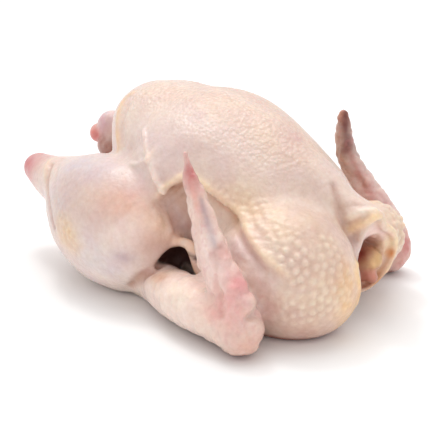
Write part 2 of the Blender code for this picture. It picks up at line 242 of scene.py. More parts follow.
def span_distance(points, start, end, thin):
    """Length from a place on the cone's axis to the point, less the radius there.

    The place is where a line through the point, square to the cone's wall, meets the axis.
    With a thin way, lengths along it are multiplied by wide radius / thin radius, which makes
    the section an ellipse, and the result is divided by how much that stretched it.
    """
    along = end[:3] - start[:3]
    length = np.linalg.norm(along)
    along = along / length
    gap = points - start[:3].astype(np.float32)
    t = gap @ along.astype(np.float32)
    if thin is None:
        side = np.sqrt(np.maximum((gap * gap).sum(axis=1) - t * t, 0.0))
    else:
        across = np.array(thin, float) - np.dot(thin, along) * along
        across = across / np.linalg.norm(across)
        height = gap @ across.astype(np.float32)
        width = gap @ np.cross(along, across).astype(np.float32)
        share = np.clip(t / length, 0.0, 1.0)
        flat = start[3] / start[4] * (1 - share) + end[3] / end[4] * share
        side = np.sqrt(width**2 + (height * flat) ** 2)
    lean = np.clip((start[3] - end[3]) / length, -STEEPEST, STEEPEST)
    near = np.clip(t - side * np.float32(lean / np.sqrt(1 - lean**2)), 0.0, length)
    reach = np.sqrt(side**2 + (t - near) ** 2)
    found = reach - (start[3] + (end[3] - start[3]) * near / length)
    if thin is not None:
        slope = np.sqrt(width**2 + (height * flat**2) ** 2 + (t - near) ** 2) / np.maximum(reach, 1e-6)
        found = found / np.maximum(slope, 1.0)
    return found.astype(np.float32)


def tube_distance(points, rows, thin=None):
    """The least of the distances to the curve's cones, and FAR_OFF well away from the tube."""
    path = curve_through(rows)
    low = path[:, :3].min(axis=0) - path[:, 3].max() - FAR_OFF / 2
    high = path[:, :3].max(axis=0) + path[:, 3].max() + FAR_OFF / 2
    close = ((points > low) & (points < high)).all(axis=1)
    here = points[close]
    best = np.full(len(here), FAR_OFF, np.float32)
    for start, end in zip(path[:-1], path[1:]):
        np.minimum(best, span_distance(here, start, end, thin), out=best)
    out = np.full(len(points), FAR_OFF, np.float32)
    out[close] = best
    return out


over_tail = np.array([[-108.0, 0.0, 60.0]], np.float32)
print("22 mm over the middle of the tail's end it reads", tube_distance(over_tail, TAIL).round(1), "mm")

# %% [markdown]
# ## From sizes to parts
# The parts are put together as a cook would name them.  Each join has its own fillet: wide where
# thick flesh runs over the joint, and narrow where thin skin clings to the bone.

# %% Wings and legs
FILLETS = {"elbow": 6, "wrist": 6, "thumb": 2.5, "shank": 10, "web": 12, "shoulder": 7, "tail": 9,
           "collar": 4, "collar edge": 3.5, "collar top": 5, "leg": 5, "wing": 6, "arch": 3,
           "forearm": 3, "mouth": 2.5, "stump": 4, "cord": 3, "base": 0.6, "fold": 8}


def wing_distance(points, far):
    """smooth_min of upper wing, forearm, raised hand and thumb, each joined to the last."""
    place = mirrored if far else list
    near_rows, far_rows = (FOREARM_NEAR, HAND_NEAR, THUMB_NEAR), (FOREARM_FAR, HAND_FAR, THUMB_FAR)
    forearm, hand, thumb = far_rows if far else near_rows
    thin = (HAND_THIN[0], HAND_THIN[1] * (-1 if far else 1), HAND_THIN[2])
    found = tube_distance(points, place(UPPER_WING))
    found = smooth_min(found, tube_distance(points, place(forearm)), FILLETS["elbow"])
    found = smooth_min(found, tube_distance(points, place(hand), thin), FILLETS["wrist"])
    return smooth_min(found, tube_distance(points, place(thumb)), FILLETS["thumb"])


def leg_distance(points, far):
    """smooth_min of thigh and shank, and of the knuckles that end the far one."""
    found = balls_distance(points, [mirrored_ball(ball) for ball in THIGH] if far else THIGH)
    shank = mirrored(SHANK_FAR) if far else SHANK_NEAR
    found = smooth_min(found, tube_distance(points, shank), FILLETS["shank"])
    return balls_distance(points, FAR_KNUCKLE, found) if far else found


print(len(FILLETS), "fillets,", min(FILLETS.values()), "to", max(FILLETS.values()), "mm wide")

# %% [markdown]
# ## Trunk and flank
# Between breast and wing the skin falls into the hollow of the flank, under a fold that runs
# like an upturned V.  The trunk is five ellipsoids, and below the V it is sunk by a few
# millimetres, eased in over the fold's edge.  The V is its apex and the directions square to
# its two arms, all in x and z.

# %% Trunk and flank
FLANK_APEX, FRONT_ARM, REAR_ARM = (15, 79), (0.45, 0.89), (-0.67, 0.74)
FLANK_DEPTH = 8.5
FLANK_EDGE, FLANK_SIDE, FLANK_FRONT = (-1, 4), (26, 44), (98, 60)


def below_fold(points):
    """How far a point is below both arms of the V: minus smooth_max of its heights over them."""
    x, z = points[:, 0] - FLANK_APEX[0], points[:, 2] - FLANK_APEX[1]
    front, rear = (x * arm[0] + z * arm[1] for arm in (FRONT_ARM, REAR_ARM))
    return -smooth_max(front, rear, FILLETS["fold"])


def trunk_distance(points):
    """The trunk's ellipsoids, plus the depth by which the flank is sunk below the V on each side."""
    sunk = FLANK_DEPTH * ease(*FLANK_EDGE, below_fold(points))
    sunk *= ease(*FLANK_SIDE, np.abs(points[:, 1])) * ease(*FLANK_FRONT, points[:, 0])
    return balls_distance(points, TRUNK) + sunk


print("flank sunk by up to", FLANK_DEPTH, "mm")

# %% [markdown]
# ## Collar and hollow of the neck
# An opening is a body taken out of another.  The collar's outer form is kept on one side of the
# slanting plane only.  The shallow hollow is that same form made smaller all round by the width
# of the rim, and its floor lies a few millimetres behind the plane, so an even rim is left.

# %% Collar and hollow of the neck
def collar_body(points):
    """smooth_min of the collar's ellipsoid and tube, before the plane cuts them off."""
    top = tube_distance(points, COLLAR_TOP)
    return smooth_min(ball_distance(points, COLLAR_BALL), top, FILLETS["collar top"])


def collar_cut(points):
    """Height over the plane: x, y and z times its direction, added up, less its own distance."""
    return points @ np.array(COLLAR_PLANE[0], np.float32) - COLLAR_PLANE[1]


def deep_mouth(points):
    """smooth_min of the deep hollow's ellipsoid and tube."""
    top = tube_distance(points, MOUTH_TOP)
    return smooth_min(ball_distance(points, MOUTH_BALL), top, FILLETS["collar top"])


def mouth_distance(points):
    """smooth_min of the deep hollow and the shallow one, which is a smooth_max of form and plane."""
    behind_rim = -(collar_cut(points) + COLLAR_SINK)
    shallow = smooth_max(collar_body(points) + COLLAR_RIM, behind_rim, FILLETS["mouth"])
    return smooth_min(deep_mouth(points), shallow, FILLETS["mouth"])


print("rim of the neck", COLLAR_RIM, "mm wide, the shallow hollow in it", COLLAR_SINK, "mm deep")

# %% [markdown]
# ## The whole bird
# Joining is the smaller of two distances, and cutting is the larger of one and the other's
# negative.  The hollow behind each forearm is cut before the arch of skin and the forearm go
# back over it, and the base plane comes last, so that the bird lies flat on its back.

# %% Whole bird
POCKET = ((16, -52, 25), (18, 17, 12.5), 0, 12, 3)


def chicken_distance(points):
    """smooth_min over the parts and smooth_max with what is cut; in mm, and negative inside."""
    points = points.astype(np.float32)
    found = trunk_distance(points)
    found = smooth_min(found, tube_distance(points, NECK_WEB), FILLETS["web"])
    found = smooth_min(found, balls_distance(points, SHOULDERS), FILLETS["shoulder"])
    found = smooth_min(found, tube_distance(points, TAIL), FILLETS["tail"])
    collar = smooth_max(collar_body(points), collar_cut(points), FILLETS["collar edge"])
    found = smooth_min(found, collar, FILLETS["collar"])
    for far in (False, True):
        place = mirrored if far else list
        pocket = mirrored_ball(POCKET) if far else POCKET
        found = smooth_min(found, leg_distance(points, far), FILLETS["leg"])
        found = smooth_min(found, wing_distance(points, far), FILLETS["wing"])
        found = smooth_max(found, -ball_distance(points, pocket), POCKET[4])
        found = smooth_min(found, tube_distance(points, place(SKIN_ARCH)), FILLETS["arch"])
        forearm = place(FOREARM_FAR if far else FOREARM_NEAR)
        found = smooth_min(found, tube_distance(points, forearm), FILLETS["forearm"])
    found = smooth_max(found, -mouth_distance(points), FILLETS["mouth"])
    found = smooth_min(found, tube_distance(points, NECK_STUMP), FILLETS["stump"])
    found = smooth_min(found, tube_distance(points, NECK_CORD), FILLETS["cord"])
    return smooth_max(found, -points[:, 2], FILLETS["base"])


def slope_of(points, step=0.25):
    """The distance, and (distance a step further - distance here) / step along each axis."""
    here = chicken_distance(points)
    out = np.empty_like(points)
    for axis in range(3):
        moved = points.copy()
        moved[:, axis] += step
        out[:, axis] = (chicken_distance(moved) - here) / step
    return here, out


probe = np.array([[0.0, 0.0, 60.0], [0.0, 0.0, 200.0]], np.float32)
print("distance inside and above the bird", chicken_distance(probe).round(1))

# %% [markdown]
# ## A net of faces over the surface
# A remesh of a plain solid would round off the folds.  Here the distance is read on a fine grid
# of cubes instead.  Each cube that the skin passes through gets one point, in the middle of
# where the skin crosses its edges, and four such cubes round an edge make one four-sided face.
# To save time, the fine grid is filled in only near the skin, which a coarse grid finds first.

# %% Fine grid near the skin
# CELL is in millimetres, and COARSE of them make a coarse cell.  NEAR is in coarse cells.
CELL = 1.39
COARSE, NEAR = 4, 1.3
LOW, HIGH = np.array([-149.0, -93.0, -4.0]), np.array([116.0, 93.0, 121.0])
CORNERS = [(a, b, c) for a in (0, 1) for b in (0, 1) for c in (0, 1)]


def shifted(array, offset, size):
    """The block of the array that starts at the offset, of the given size."""
    return array[tuple(slice(o, o + n) for o, n in zip(offset, size))]


def repeated(array):
    """Each value of the coarse block repeated COARSE times along every axis."""
    return array.repeat(COARSE, 0).repeat(COARSE, 1).repeat(COARSE, 2)


def near_skin_grid(distance, cell):
    """Distances on a fine grid: exact near the skin, and elsewhere only inside or outside."""
    counts = np.ceil((HIGH - LOW) / (COARSE * cell)).astype(int)
    axes = [LOW[k] + COARSE * cell * np.arange(counts[k] + 1) for k in range(3)]
    coarse = np.stack(np.meshgrid(*axes, indexing="ij"), axis=-1)
    rough = distance(coarse.reshape(-1, 3)).reshape(coarse.shape[:3])
    close = np.abs(rough) < NEAR * COARSE * cell
    live = np.zeros(counts, bool)
    for offset in CORNERS:
        live |= shifted(close, offset, counts)
    fine = counts * COARSE
    wanted = np.zeros(fine + 1, bool)
    for offset in CORNERS:
        block = shifted(wanted, offset, fine)
        block |= repeated(live)
    value = np.full(fine + 1, COARSE * cell, np.float32)
    value[:-1, :-1, :-1] = repeated(rough[:-1, :-1, :-1])
    places = np.argwhere(wanted)
    value[wanted] = distance(LOW + cell * places)
    return value


value = near_skin_grid(chicken_distance, CELL)
print("grid of", value.shape, "corners")

# %% Points of the net
def net_points(value, cell):
    """For each cube with both signs at its corners, the mean of its edge crossings.

    The skin crosses an edge from value a to value b at the share a / (a - b) of its length.
    """
    size = np.array(value.shape) - 1
    inside = value < 0
    number = np.zeros(size, np.int32)
    for offset in CORNERS:
        number += shifted(inside, offset, size)
    cubes = np.argwhere((number > 0) & (number < 8))
    total, count = np.zeros((len(cubes), 3)), np.zeros(len(cubes))
    for axis in range(3):
        for offset in (o for o in CORNERS if o[axis] == 0):
            start = cubes + offset
            end = start + np.eye(3, dtype=int)[axis]
            a, b = value[tuple(start.T)], value[tuple(end.T)]
            crossed = (a < 0) != (b < 0)
            share = np.where(crossed, a / np.where(crossed, a - b, 1.0), 0.0)
            place = np.array(offset, float) + share[:, None] * np.eye(3)[axis]
            total += np.where(crossed[:, None], place, 0.0)
            count += crossed
    index = np.full(size, -1, np.int32)
    index[tuple(cubes.T)] = np.arange(len(cubes))
    return LOW + cell * (cubes + total / count[:, None]), index


points, cube_index = net_points(value, CELL)
print("net:", len(points), "points")

# %% [markdown]
# ## Faces between the points
# Where the two ends of a grid edge lie on different sides of the skin, the four cubes round
# that edge each hold a point, and these four points make a face.  Which end lies inside says
# which way round the face has to go, so that it faces outwards.

# %% Faces of the net
def net_faces(value, index):
    """Four-sided faces round each grid edge whose ends differ in sign, turned to face outwards."""
    inside = value < 0
    faces = []
    for axis in range(3):
        b, c = [k for k in range(3) if k != axis]
        size = np.array(value.shape)
        size[axis] -= 1
        step = np.eye(3, dtype=int)[axis]
        start, end = shifted(inside, (0, 0, 0), size), shifted(inside, step, size)
        edges = np.argwhere(start != end)
        edges = edges[(edges[:, b] > 0) & (edges[:, c] > 0)]
        back_b, back_c = np.eye(3, dtype=int)[b], np.eye(3, dtype=int)[c]
        ring = [edges, edges - back_b, edges - back_b - back_c, edges - back_c]
        quads = np.stack([index[tuple(r.T)] for r in ring], axis=1)
        outward = start[tuple(edges.T)] ^ (axis == 1)
        faces.append(np.where(outward[:, None], quads, quads[:, ::-1]))
    return np.vstack(faces)


faces = net_faces(value, cube_index)
print("net:", len(faces), "faces")

# %% [markdown]
# ## Settling the net
# The net's points lie near the skin but not on it, and they are bunched in places.  A few
# rounds ease each point towards the middle of its neighbours and draw it back onto the surface
# along the slope of the distance.

# %% Neighbours
ends = np.vstack([faces[:, [0, 1]], faces[:, [1, 2]], faces[:, [2, 3]], faces[:, [3, 0]]])


def neighbour_mean(values):
    """Sum of each point's neighbours over their number, each edge counted from both its faces."""
    total = np.zeros_like(values)
    count = np.bincount(ends.ravel(), minlength=len(values))
    for axis in range(values.shape[1]):
        total[:, axis] = np.bincount(ends[:, 0], values[ends[:, 1], axis], len(values))
        total[:, axis] += np.bincount(ends[:, 1], values[ends[:, 0], axis], len(values))
    return total / count[:, None]


print("each point has", round(len(ends) / len(points), 2), "neighbours on average")

# %% Even the points out and draw them onto the skin
EASED_ROUNDS, ALL_ROUNDS, EASE_SHARE = 3, 5, 0.5
LONGEST_MOVE, LEAST_SLOPE = 1.0, 0.3
for round_number in range(ALL_ROUNDS):
    if round_number < EASED_ROUNDS:
        points += EASE_SHARE * (neighbour_mean(points) - points)
    here, slope = slope_of(points)
    steep = np.maximum((slope**2).sum(axis=1), LEAST_SLOPE)
    points -= slope * (np.clip(here, -LONGEST_MOVE, LONGEST_MOVE) / steep)[:, None]
here, slope = slope_of(points)
outward = slope / np.maximum(np.linalg.norm(slope, axis=1), 1e-6)[:, None]
print("largest distance left", float(np.abs(here).max().round(3)), "mm")

# %% [markdown]
# ## Relief of the skin
# Plucked skin has three kinds of relief: soft lumps of flesh and fat under it, rows of goose
# bumps where the feathers grew, and creases where it is drawn between joints.  Lumps come from
# smooth random clouds.  Goose bumps stand an even distance apart, so their middles are spread
# like seats and then pushed apart.  Creases are drawn as lines in space, each with a width.

# %% Random clouds
def cloud(places, size, seed):
    """Random values in -1..1 on a lattice of the given size, blended with 3 s^2 - 2 s^3 along each axis."""
    scaled = places / size + seed * 7.3
    base = np.floor(scaled).astype(np.int64)
    part = scaled - base
    part = part * part * (3 - 2 * part)
    total = np.zeros(len(places))
    for corner in CORNERS:
        x, y, z = (base + corner).T
        mixed = (x * 374761393 + y * 668265263 + z * 1442695041 + seed * 97531) & 0x7FFFFFFF
        mixed = ((mixed ^ (mixed >> 13)) * 1274126177) & 0x7FFFFFFF
        random = ((mixed ^ (mixed >> 16)) & 0xFFFF) / 32767.5 - 1.0
        weight = np.prod(np.where(corner, part, 1 - part), axis=1)
        total += random * weight
    return total


print("cloud at the first points", cloud(points[:3], 30, 1).round(2))

# %% Drawn lines and spots
def along_line(places, rows):
    """exp(-(d / w)^2), where d is the distance to the line and w its width there."""
    path = curve_through(rows)
    reach = 2.6 * path[:, 3].max()
    close = ((places > path[:, :3].min(0) - reach) & (places < path[:, :3].max(0) + reach)).all(axis=1)
    here = places[close]
    best = np.zeros(len(here))
    for start, end in zip(path[:-1], path[1:]):
        span = end[:3] - start[:3]
        share = np.clip((here - start[:3]) @ span / max(span @ span, 1e-9), 0.0, 1.0)
        d = np.linalg.norm(here - start[:3] - share[:, None] * span, axis=1)
        best = np.maximum(best, np.exp(-((d / (start[3] + (end[3] - start[3]) * share)) ** 2)))
    out = np.zeros(len(places))
    out[close] = best
    return out


def spot(places, centre, width):
    """exp(-(d / w)^2) round a centre; the width may differ along X, Y and Z."""
    return np.exp(-(((places - np.array(centre, float)) / np.array(width, float)) ** 2).sum(axis=1))


def spots_on(centre, width, both):
    """The spot, and where it is on both sides also the one with the sign of y changed."""
    sides = (1, -1) if both else (1,)
    return [spot(points, (centre[0], centre[1] * side, centre[2]), width) for side in sides]


print("a spot 10 mm wide takes in", int((spot(points, (0, 0, 112), (10, 10, 10)) > 0.5).sum()), "points")

# %% [markdown]
# ## Lumps, and the rough skin of the wings
# Flesh and fat under the skin show as broad soft lumps.  Wing skin is thinner and wrinkled, with
# short furrows where the quills sat, and the forearm has rings like a loose sleeve.  Furrows
# are taken where a cloud passes through nought, because that gives long wandering lines.

# %% Where the wings are
def near_any(places, rows_list, spread):
    """The largest of exp(-(d / w)^2) over several lines, each line widened by spread."""
    best = np.zeros(len(places))
    for rows in rows_list:
        wide = [(*row[:3], row[3] + spread) for row in curve_through([row[:4] for row in rows], 1)]
        best = np.maximum(best, along_line(places, wide))
    return best


def creases(places, size, seed, sharp=0.22):
    """Minus exp(-(cloud / sharp)^2): thin furrows along the lines where the cloud is nought."""
    return -np.exp(-((cloud(places, size, seed) / sharp) ** 2))


hand_rows = [HAND_NEAR, THUMB_NEAR, mirrored(HAND_FAR), mirrored(THUMB_FAR)]
wings = np.clip(1.6 * near_any(points, hand_rows, 3), 0, 1)
forearms = np.clip(1.5 * near_any(points, [FOREARM_NEAR, mirrored(FOREARM_FAR)], 3), 0, 1)
print("hands and thumbs hold", int((wings > 0.5).sum()), "points, forearms", int((forearms > 0.5).sum()))

# %% Lumps, wrinkles, rings and pleats
lumps = 0.6 * cloud(points, 30, 1) + 0.35 * cloud(points, 14, 2) + 0.16 * cloud(points, 7, 3)
across = points @ np.array([[1.0, 0.25, 0.0], [-0.25, 0.3, 0.0], [0.0, 0.0, 0.3]])
rough = 0.6 * cloud(points, 5, 4) + 0.8 * creases(points, 7, 5) + 0.5 * creases(points, 4.5, 8, 0.3)
rough = rough * wings
rings = forearms * (creases(across, 5, 6) + 0.45 * cloud(points, 5, 9)) * (1 - wings)
leg_edge = sum(spots_on((2, -57, 56), (12, 8, 17), True))
upright = points * np.array([1.0, 1.0, 0.28])
pleats = np.clip(leg_edge, 0, 1) * creases(upright, 5, 10, 0.3)
print("lumps from", lumps.min().round(2), "to", lumps.max().round(2), "mm")

# %% [markdown]
# ## Creases, ridges and dents
# Skin creases where a joint is bent and stands up in strands where it is pulled.  Each crease
# is one line in space with a width at each of its points, and a depth in millimetres.  A line in
# space needs no unwrapping, and the same line can be painted later.

# %% Creases
GROOVES = {
    "knee fold": ([(-100, -50, 64, 1.8), (-92, -60, 55, 2.4), (-76, -73, 48, 2.2),
                   (-66, -78, 38, 1.5)], 1.7),
    "second knee fold": ([(-93, -50, 68, 1.5), (-79, -65, 61, 2.0), (-62, -77, 52, 1.5)], 0.6),
    "shoulder crease": ([(81, -6, 77, 1.6), (87, -10, 68, 2.2), (91, -10, 59, 2.4), (95, -8, 50, 2.2),
                         (103, -13, 42, 1.8)], 1.6),
    "web fold": ([(93, -8, 57, 1.3), (98, -7, 60, 1.6), (103, -5, 63.5, 1.4)], 1.1),
    "web fold two": ([(88, -10, 66, 1.3), (94, -6, 68, 1.8), (100, -2, 69, 1.4)], 0.7),
    "hand vein": ([(49, -77, 79, 1.4), (52, -78, 73, 1.7), (56, -79, 66, 1.8), (60, -80, 58, 1.5)], 0.8),
    "thumb groove": ([(59, -79, 53, 1.6), (63, -80, 46, 1.9), (66, -83, 36, 2.2),
                      (69, -86, 27, 1.8)], 1.5),
    "thumb tip groove": ([(59, -78, 55, 1.6), (63, -76, 57, 1.8), (67, -73, 55, 1.6)], 1.6),
    "elbow fold": ([(56, -80, 33, 1.4), (62, -84, 28, 1.9), (71, -86, 24, 1.4)], 1.0),
    "elbow fold two": ([(48, -80, 30, 1.3), (55, -86, 25, 1.6), (63, -88, 21, 1.2)], 0.7),
    "wrist fold": ([(70, -86, 20, 1.3), (78, -87, 17, 1.7), (86, -82, 14, 1.3)], 0.8),
    "far wing fold": ([(43, 64, 74, 1.6), (49, 64, 64, 1.8), (56, 64, 54, 1.6)], 1.0),
    "under the fold": ([(46, -47, 56, 2.2), (54, -53, 55, 2.6), (61, -58, 53, 2.8), (69, -61, 49, 3.0),
                        (78, -62, 43, 2.6)], 0.9),
    "behind the leg": ([(6, -52, 72, 1.6), (11, -52, 65, 2.0), (13.5, -51, 57, 2.0),
                        (13, -50, 49, 1.8)], 1.2),
    "under the thigh": ([(-14, -68, 11, 1.8), (-6, -71, 18, 2.2), (0, -70, 23, 2.2), (5, -68, 26, 2.0),
                         (5, -62, 27, 1.8)], 2.4),
    "tail crease": ([(-96, -9, 42, 1.6), (-101, 0, 44, 1.8), (-96, 9, 42, 1.6)], 0.8),
    "strip groove": ([(-53, -28, 105, 1.8), (-51, -34, 98, 2.2), (-49, -38, 91, 2.2),
                      (-43, -43, 85, 1.8)], 0.8),
}
print(len(GROOVES), "creases, up to", max(depth for _, depth in GROOVES.values()), "mm deep")

# %% Ridges
RIDGES = {
    "strand": ([(-27, -41, 97, 1.2), (-20, -46, 92, 1.3), (-15, -50, 87, 1.5), (-11, -52, 84, 1.6),
                (-4, -55, 76, 1.7), (3, -56, 69, 1.5)], 1.9),
    "strand branch": ([(-9, -50, 92, 1.2), (-11, -52, 87, 1.5), (-11, -53, 83, 1.5)], 1.3),
    "strand root": ([(-26, -52, 78, 1.4), (-20, -53, 79, 1.6), (-13, -53, 83, 1.5)], 1.5),
    "strip": ([(-57, -19, 110, 2.0), (-61, -23, 106, 2.3), (-60, -28, 101, 2.4), (-57, -33, 95, 2.4),
               (-53, -37, 88, 2.4), (-48, -41, 82, 2.4)], 1.0),
    "shoulder rim": ([(103, -13, 42, 1.6), (107, -19, 37, 2.2), (107, -17, 28, 2.4),
                      (104, -15, 18, 2.0)], 1.0),
    "collar lip": ([(93, -6, 55, 1.8), (99, -5, 59, 2.0), (105, -3, 63, 2.2), (107, 3, 62, 2.2),
                    (104, 13, 56, 2.2), (102, 23, 46, 2.4), (101, 31, 34, 2.6), (97, 30, 20, 2.4)], 0.8),
    "leg edge": ([(-3, -56, 75, 1.5), (2, -57.5, 69, 2.0), (6, -58, 62, 2.2), (8, -57, 55, 2.2),
                  (8, -56, 47, 2.0)], 1.3),
    "web ridge": ([(91, -9, 61, 1.3), (95, -7, 63, 1.7), (99, -5, 65, 1.8), (104, 0, 66, 1.6)], 1.2),
    "lip top": ([(93, -6, 53, 1.5), (98, -6, 57, 1.7), (103, -5, 61, 1.7), (107, -2, 63, 1.6)], 0.9),
    "cuff": ([(-108, -44, 66, 1.6), (-101, -54, 59, 2.0), (-88, -67, 51, 2.0)], 0.8),
    "inner flap": ([(98, 15, 50, 1.6), (97, 21, 42, 1.8), (96, 25, 33, 2.0), (95, 24, 22, 1.8)], 0.8),
    "thumb": ([(78, -82, 20, 3.2), (74, -81, 34, 3.0), (69, -79, 43, 2.6), (65, -77, 50, 2.2)], 1.3),
    "hand tendon": ([(62, -81, 44, 1.3), (56, -79, 56, 1.6), (48, -77, 72, 1.3)], 0.8),
    "fold end": ([(44, -46, 61, 2.0), (52, -51, 60, 2.4), (60, -56, 58.5, 2.6), (68, -59, 55, 2.8),
                  (77, -60, 50, 2.6)], 0.8),
}
print(len(RIDGES), "ridges, up to", max(height for _, height in RIDGES.values()), "mm high")

# %% Fan of pleats, dents, and what is on both sides
# The pleats fan out below the strand between breast and leg.
FAN = [([(-9 + 4.5 * k, -52, 96 - 2.5 * k, 1.0), (-5 + 3.6 * k, -54, 86 - 2 * k, 1.3),
         (1 + 2 * k, -56, 74 - k, 1.0)], 0.5) for k in range(4)]
# A dent has a name, a centre, a width along X, Y and Z, a depth, and whether it is on both sides
# of the bird.  With a negative depth it is a knob.
DENTS = [
    ("dimple", (-32, -46, 86), (8, 7, 6.5), 2.2, True),
    ("breast dent", (66, -24, 78), (16, 12, 12), 1.0, True),
    ("rear dent", (-52, -20, 96), (14, 14, 12), 0.6, True),
    ("leg dent", (-58, -72, 62), (12, 8, 8), 0.9, True),
    ("wrist notch", (86, -76, 25.5), (6, 9, 2.2), 4.6, False),
    ("wrist notch above", (79, -74, 37), (4, 6, 2.0), 0.8, False),
    ("wrist knob", (83, -75, 31), (5, 6, 3.0), -1.6, False),
    ("wing end knob", (88, -78, 19), (5, 7, 4), -1.0, False),
    ("wing end notch", (87, -80, 11), (5, 6, 2), 1.2, False),
    ("stump hollow", (99, 13, 33), (3, 3, 3), 1.2, False),
]
BOTH_SIDES = ("knee fold", "elbow fold", "strip", "strip groove", "thumb groove", "behind the leg",
              "under the thigh", "leg edge", "cuff")
print(len(FAN), "pleats,", len(DENTS), "dents and knobs")

# %% All creases, ridges and dents together
def drawn(lines):
    """Sum of depth times closeness for each line, on both sides where its name is in BOTH_SIDES."""
    total = np.zeros(len(points))
    for name, (rows, depth) in lines.items():
        total += depth * along_line(points, rows)
        if name in BOTH_SIDES:
            total += depth * along_line(points, mirrored(rows))
    return total


grooves, ridges = drawn(GROOVES), drawn(RIDGES)
for rows, depth in FAN:
    grooves += depth * along_line(points, rows)
dents = np.zeros(len(points))
for _, centre, width, depth, both in DENTS:
    for dent in spots_on(centre, width, both):
        dents += depth * dent
print("grooves to", grooves.max().round(2), "mm, ridges to", ridges.max().round(2), "mm")

# %% [markdown]
# ## The lip of the flank's fold
# The fold of skin over the flank ends in a rounded lip, and the skin is drawn in below it.  The
# V that sank the flank places both: the depth below it says how far a point is from the lip, so
# a ridge lies a little above the V and a groove a little below it, on the flanks only.

# %% Lip of the flank's fold
def band(depth, middle, width):
    """exp(-((depth - middle) / width)^2)."""
    return np.exp(-(((depth - middle) / width) ** 2))


# The same points in single precision, as the distances were worked out.
single = points.astype(np.float32)
fold_depth = below_fold(single)
sideways = np.abs(points[:, 1])
on_flank = ease(26, 40, sideways) * ease(66, 61, sideways) * ease(100, 84, points[:, 0])
on_flank *= ease(-6, 4, points[:, 0])
lip_top, lip_under = band(fold_depth, -2.0, 2.0), band(fold_depth, 2.6, 2.2)
fold_lip = on_flank * (1.2 * lip_top - 1.5 * lip_under)
print("lip", fold_lip.max().round(2), "mm high, and", -fold_lip.min().round(2), "mm deep below it")

# %% [markdown]
# ## Goose bumps
# Feathers grow in tracts, not everywhere, so the bumps stand in bands along the breast's edge
# and the shoulder, and the skin between is smooth.  Points of the net are taken in random
# order and kept when no kept one is nearer than the gap.  The kept ones push each other apart
# and are drawn back onto the skin.

# %% Tracts of goose bumps
# A tract has a name, the gap between its bumps, their height, and its line with its widths.
TRACTS = [
    ("shoulder", 4.1, 1.15, [(88, -53, 52, 12), (98, -48, 42, 14), (104, -42, 30, 14), (94, -54, 24, 12)]),
    ("shoulder inner", 3.9, 0.9, [(96, -36, 54, 9), (106, -34, 42, 9), (108, -30, 28, 9)]),
    ("breast edge", 3.6, 0.65, [(30, -47, 74, 6), (42, -45, 70, 10), (58, -45, 65, 13), (76, -50, 58, 14)]),
    ("breast ridge", 3.6, 0.3, [(-40, -16, 111, 12), (-5, -14, 113, 14), (30, -12, 107, 15),
                                (58, -10, 93, 12)]),
    ("leg fat", 3.8, 0.7, [(-58, -79, 45, 7), (-50, -81, 38, 9), (-40, -80, 27, 8)]),
    ("leg side", 4.0, 0.18, [(-62, -68, 62, 10), (-36, -76, 58, 14), (-14, -70, 58, 12)]),
]
print(len(TRACTS), "tracts on each side, their bumps up to", max(row[2] for row in TRACTS), "mm high")

# %% Middles of the bumps
WANTED_GAP, PUSH_ROUNDS, PUSH_SHARE = 1.15, 5, 0.25


def kept_apart(candidates, gap, seed):
    """In random order, the first candidate left is kept and all those nearer to it than gap are dropped."""
    left, kept = np.random.default_rng(seed).permutation(candidates), []
    while len(left):
        kept.append(left[0])
        left = left[((left - left[0]) ** 2).sum(axis=1) >= gap * gap]
    return np.array(kept)


def pushed_apart(places, gap):
    """Each point moves off its neighbours by a share of what they lack of the wanted gap."""
    for _ in range(PUSH_ROUNDS):
        apart = places[:, None] - places[None]
        distance = np.linalg.norm(apart, axis=2) + np.eye(len(places)) * 1e3
        push = np.clip(WANTED_GAP * gap - distance, 0.0, gap) / distance
        places = places + PUSH_SHARE * (apart * push[:, :, None]).sum(axis=1)
        here, slope = slope_of(places.astype(np.float32))
        places = places - slope * here[:, None]
    return places


def nearest(places, middles):
    """Root of the least a^2 + b^2 - 2 a b over the middles, in blocks of places to spare memory."""
    out, block_size = np.empty(len(places)), 4000
    for start in range(0, len(places), block_size):
        block = places[start:start + block_size]
        square = (block**2).sum(1)[:, None] + (middles**2).sum(1)[None] - 2 * block @ middles.T
        out[start:start + block_size] = np.sqrt(np.maximum(square.min(axis=1), 0.0))
    return out


print("bumps are pushed", PUSH_ROUNDS, "times towards", WANTED_GAP, "gaps from each other")

# %% [markdown]
# ## Raising the bumps
# A goose bump is a small dome over the root of a feather.  Its height falls off from its middle
# as one minus the square of the distance, and the skin round it sits a little lower than smooth
# skin.  A cloud makes some bumps strong and others faint, because a real tract is uneven.

# %% Domes over the middles
DOME_REACH, DOME_SINK, UNEVEN = 0.58, 0.4, 0.7
bumps, bump_top, tract_mask = np.zeros((3, len(points)))
above_fold = np.maximum(ease(1, -2, fold_depth), ease(66, 90, points[:, 0]))
off_collar = ease(2, 6, collar_body(single))
for number, (name, gap, height, rows) in enumerate(TRACTS):
    made = 0
    for side in (rows, mirrored(rows)):
        mask = np.clip(1.6 * along_line(points, side) - 0.3, 0.0, 1.0) * (1 - wings)
        mask *= above_fold
        mask *= off_collar
        chosen = np.flatnonzero(mask > 0.02)
        middles = pushed_apart(kept_apart(points[chosen], gap, number + 5), gap)
        d = nearest(points[chosen], middles) / gap
        dome = np.maximum(1 - (d / DOME_REACH) ** 2, 0)
        uneven = 1 + UNEVEN * cloud(points[chosen], 9, 22)
        bumps[chosen] += height * mask[chosen] * (dome - DOME_SINK) * uneven
        bump_top[chosen] = np.maximum(bump_top[chosen], mask[chosen] * dome * height)
        tract_mask = np.maximum(tract_mask, mask)
        made += len(middles)
    print(name, made, "bumps on both sides together")

# %% [markdown]
# ## Raising and sinking the skin
# All the relief is one height for each point, and the point moves by it along the slope of the
# distance.  The base stays flat, so that the bird rests on it, and deep in the neck most of the
# relief gives way to that of torn flesh.  Last, no point may leave the box of the solid.

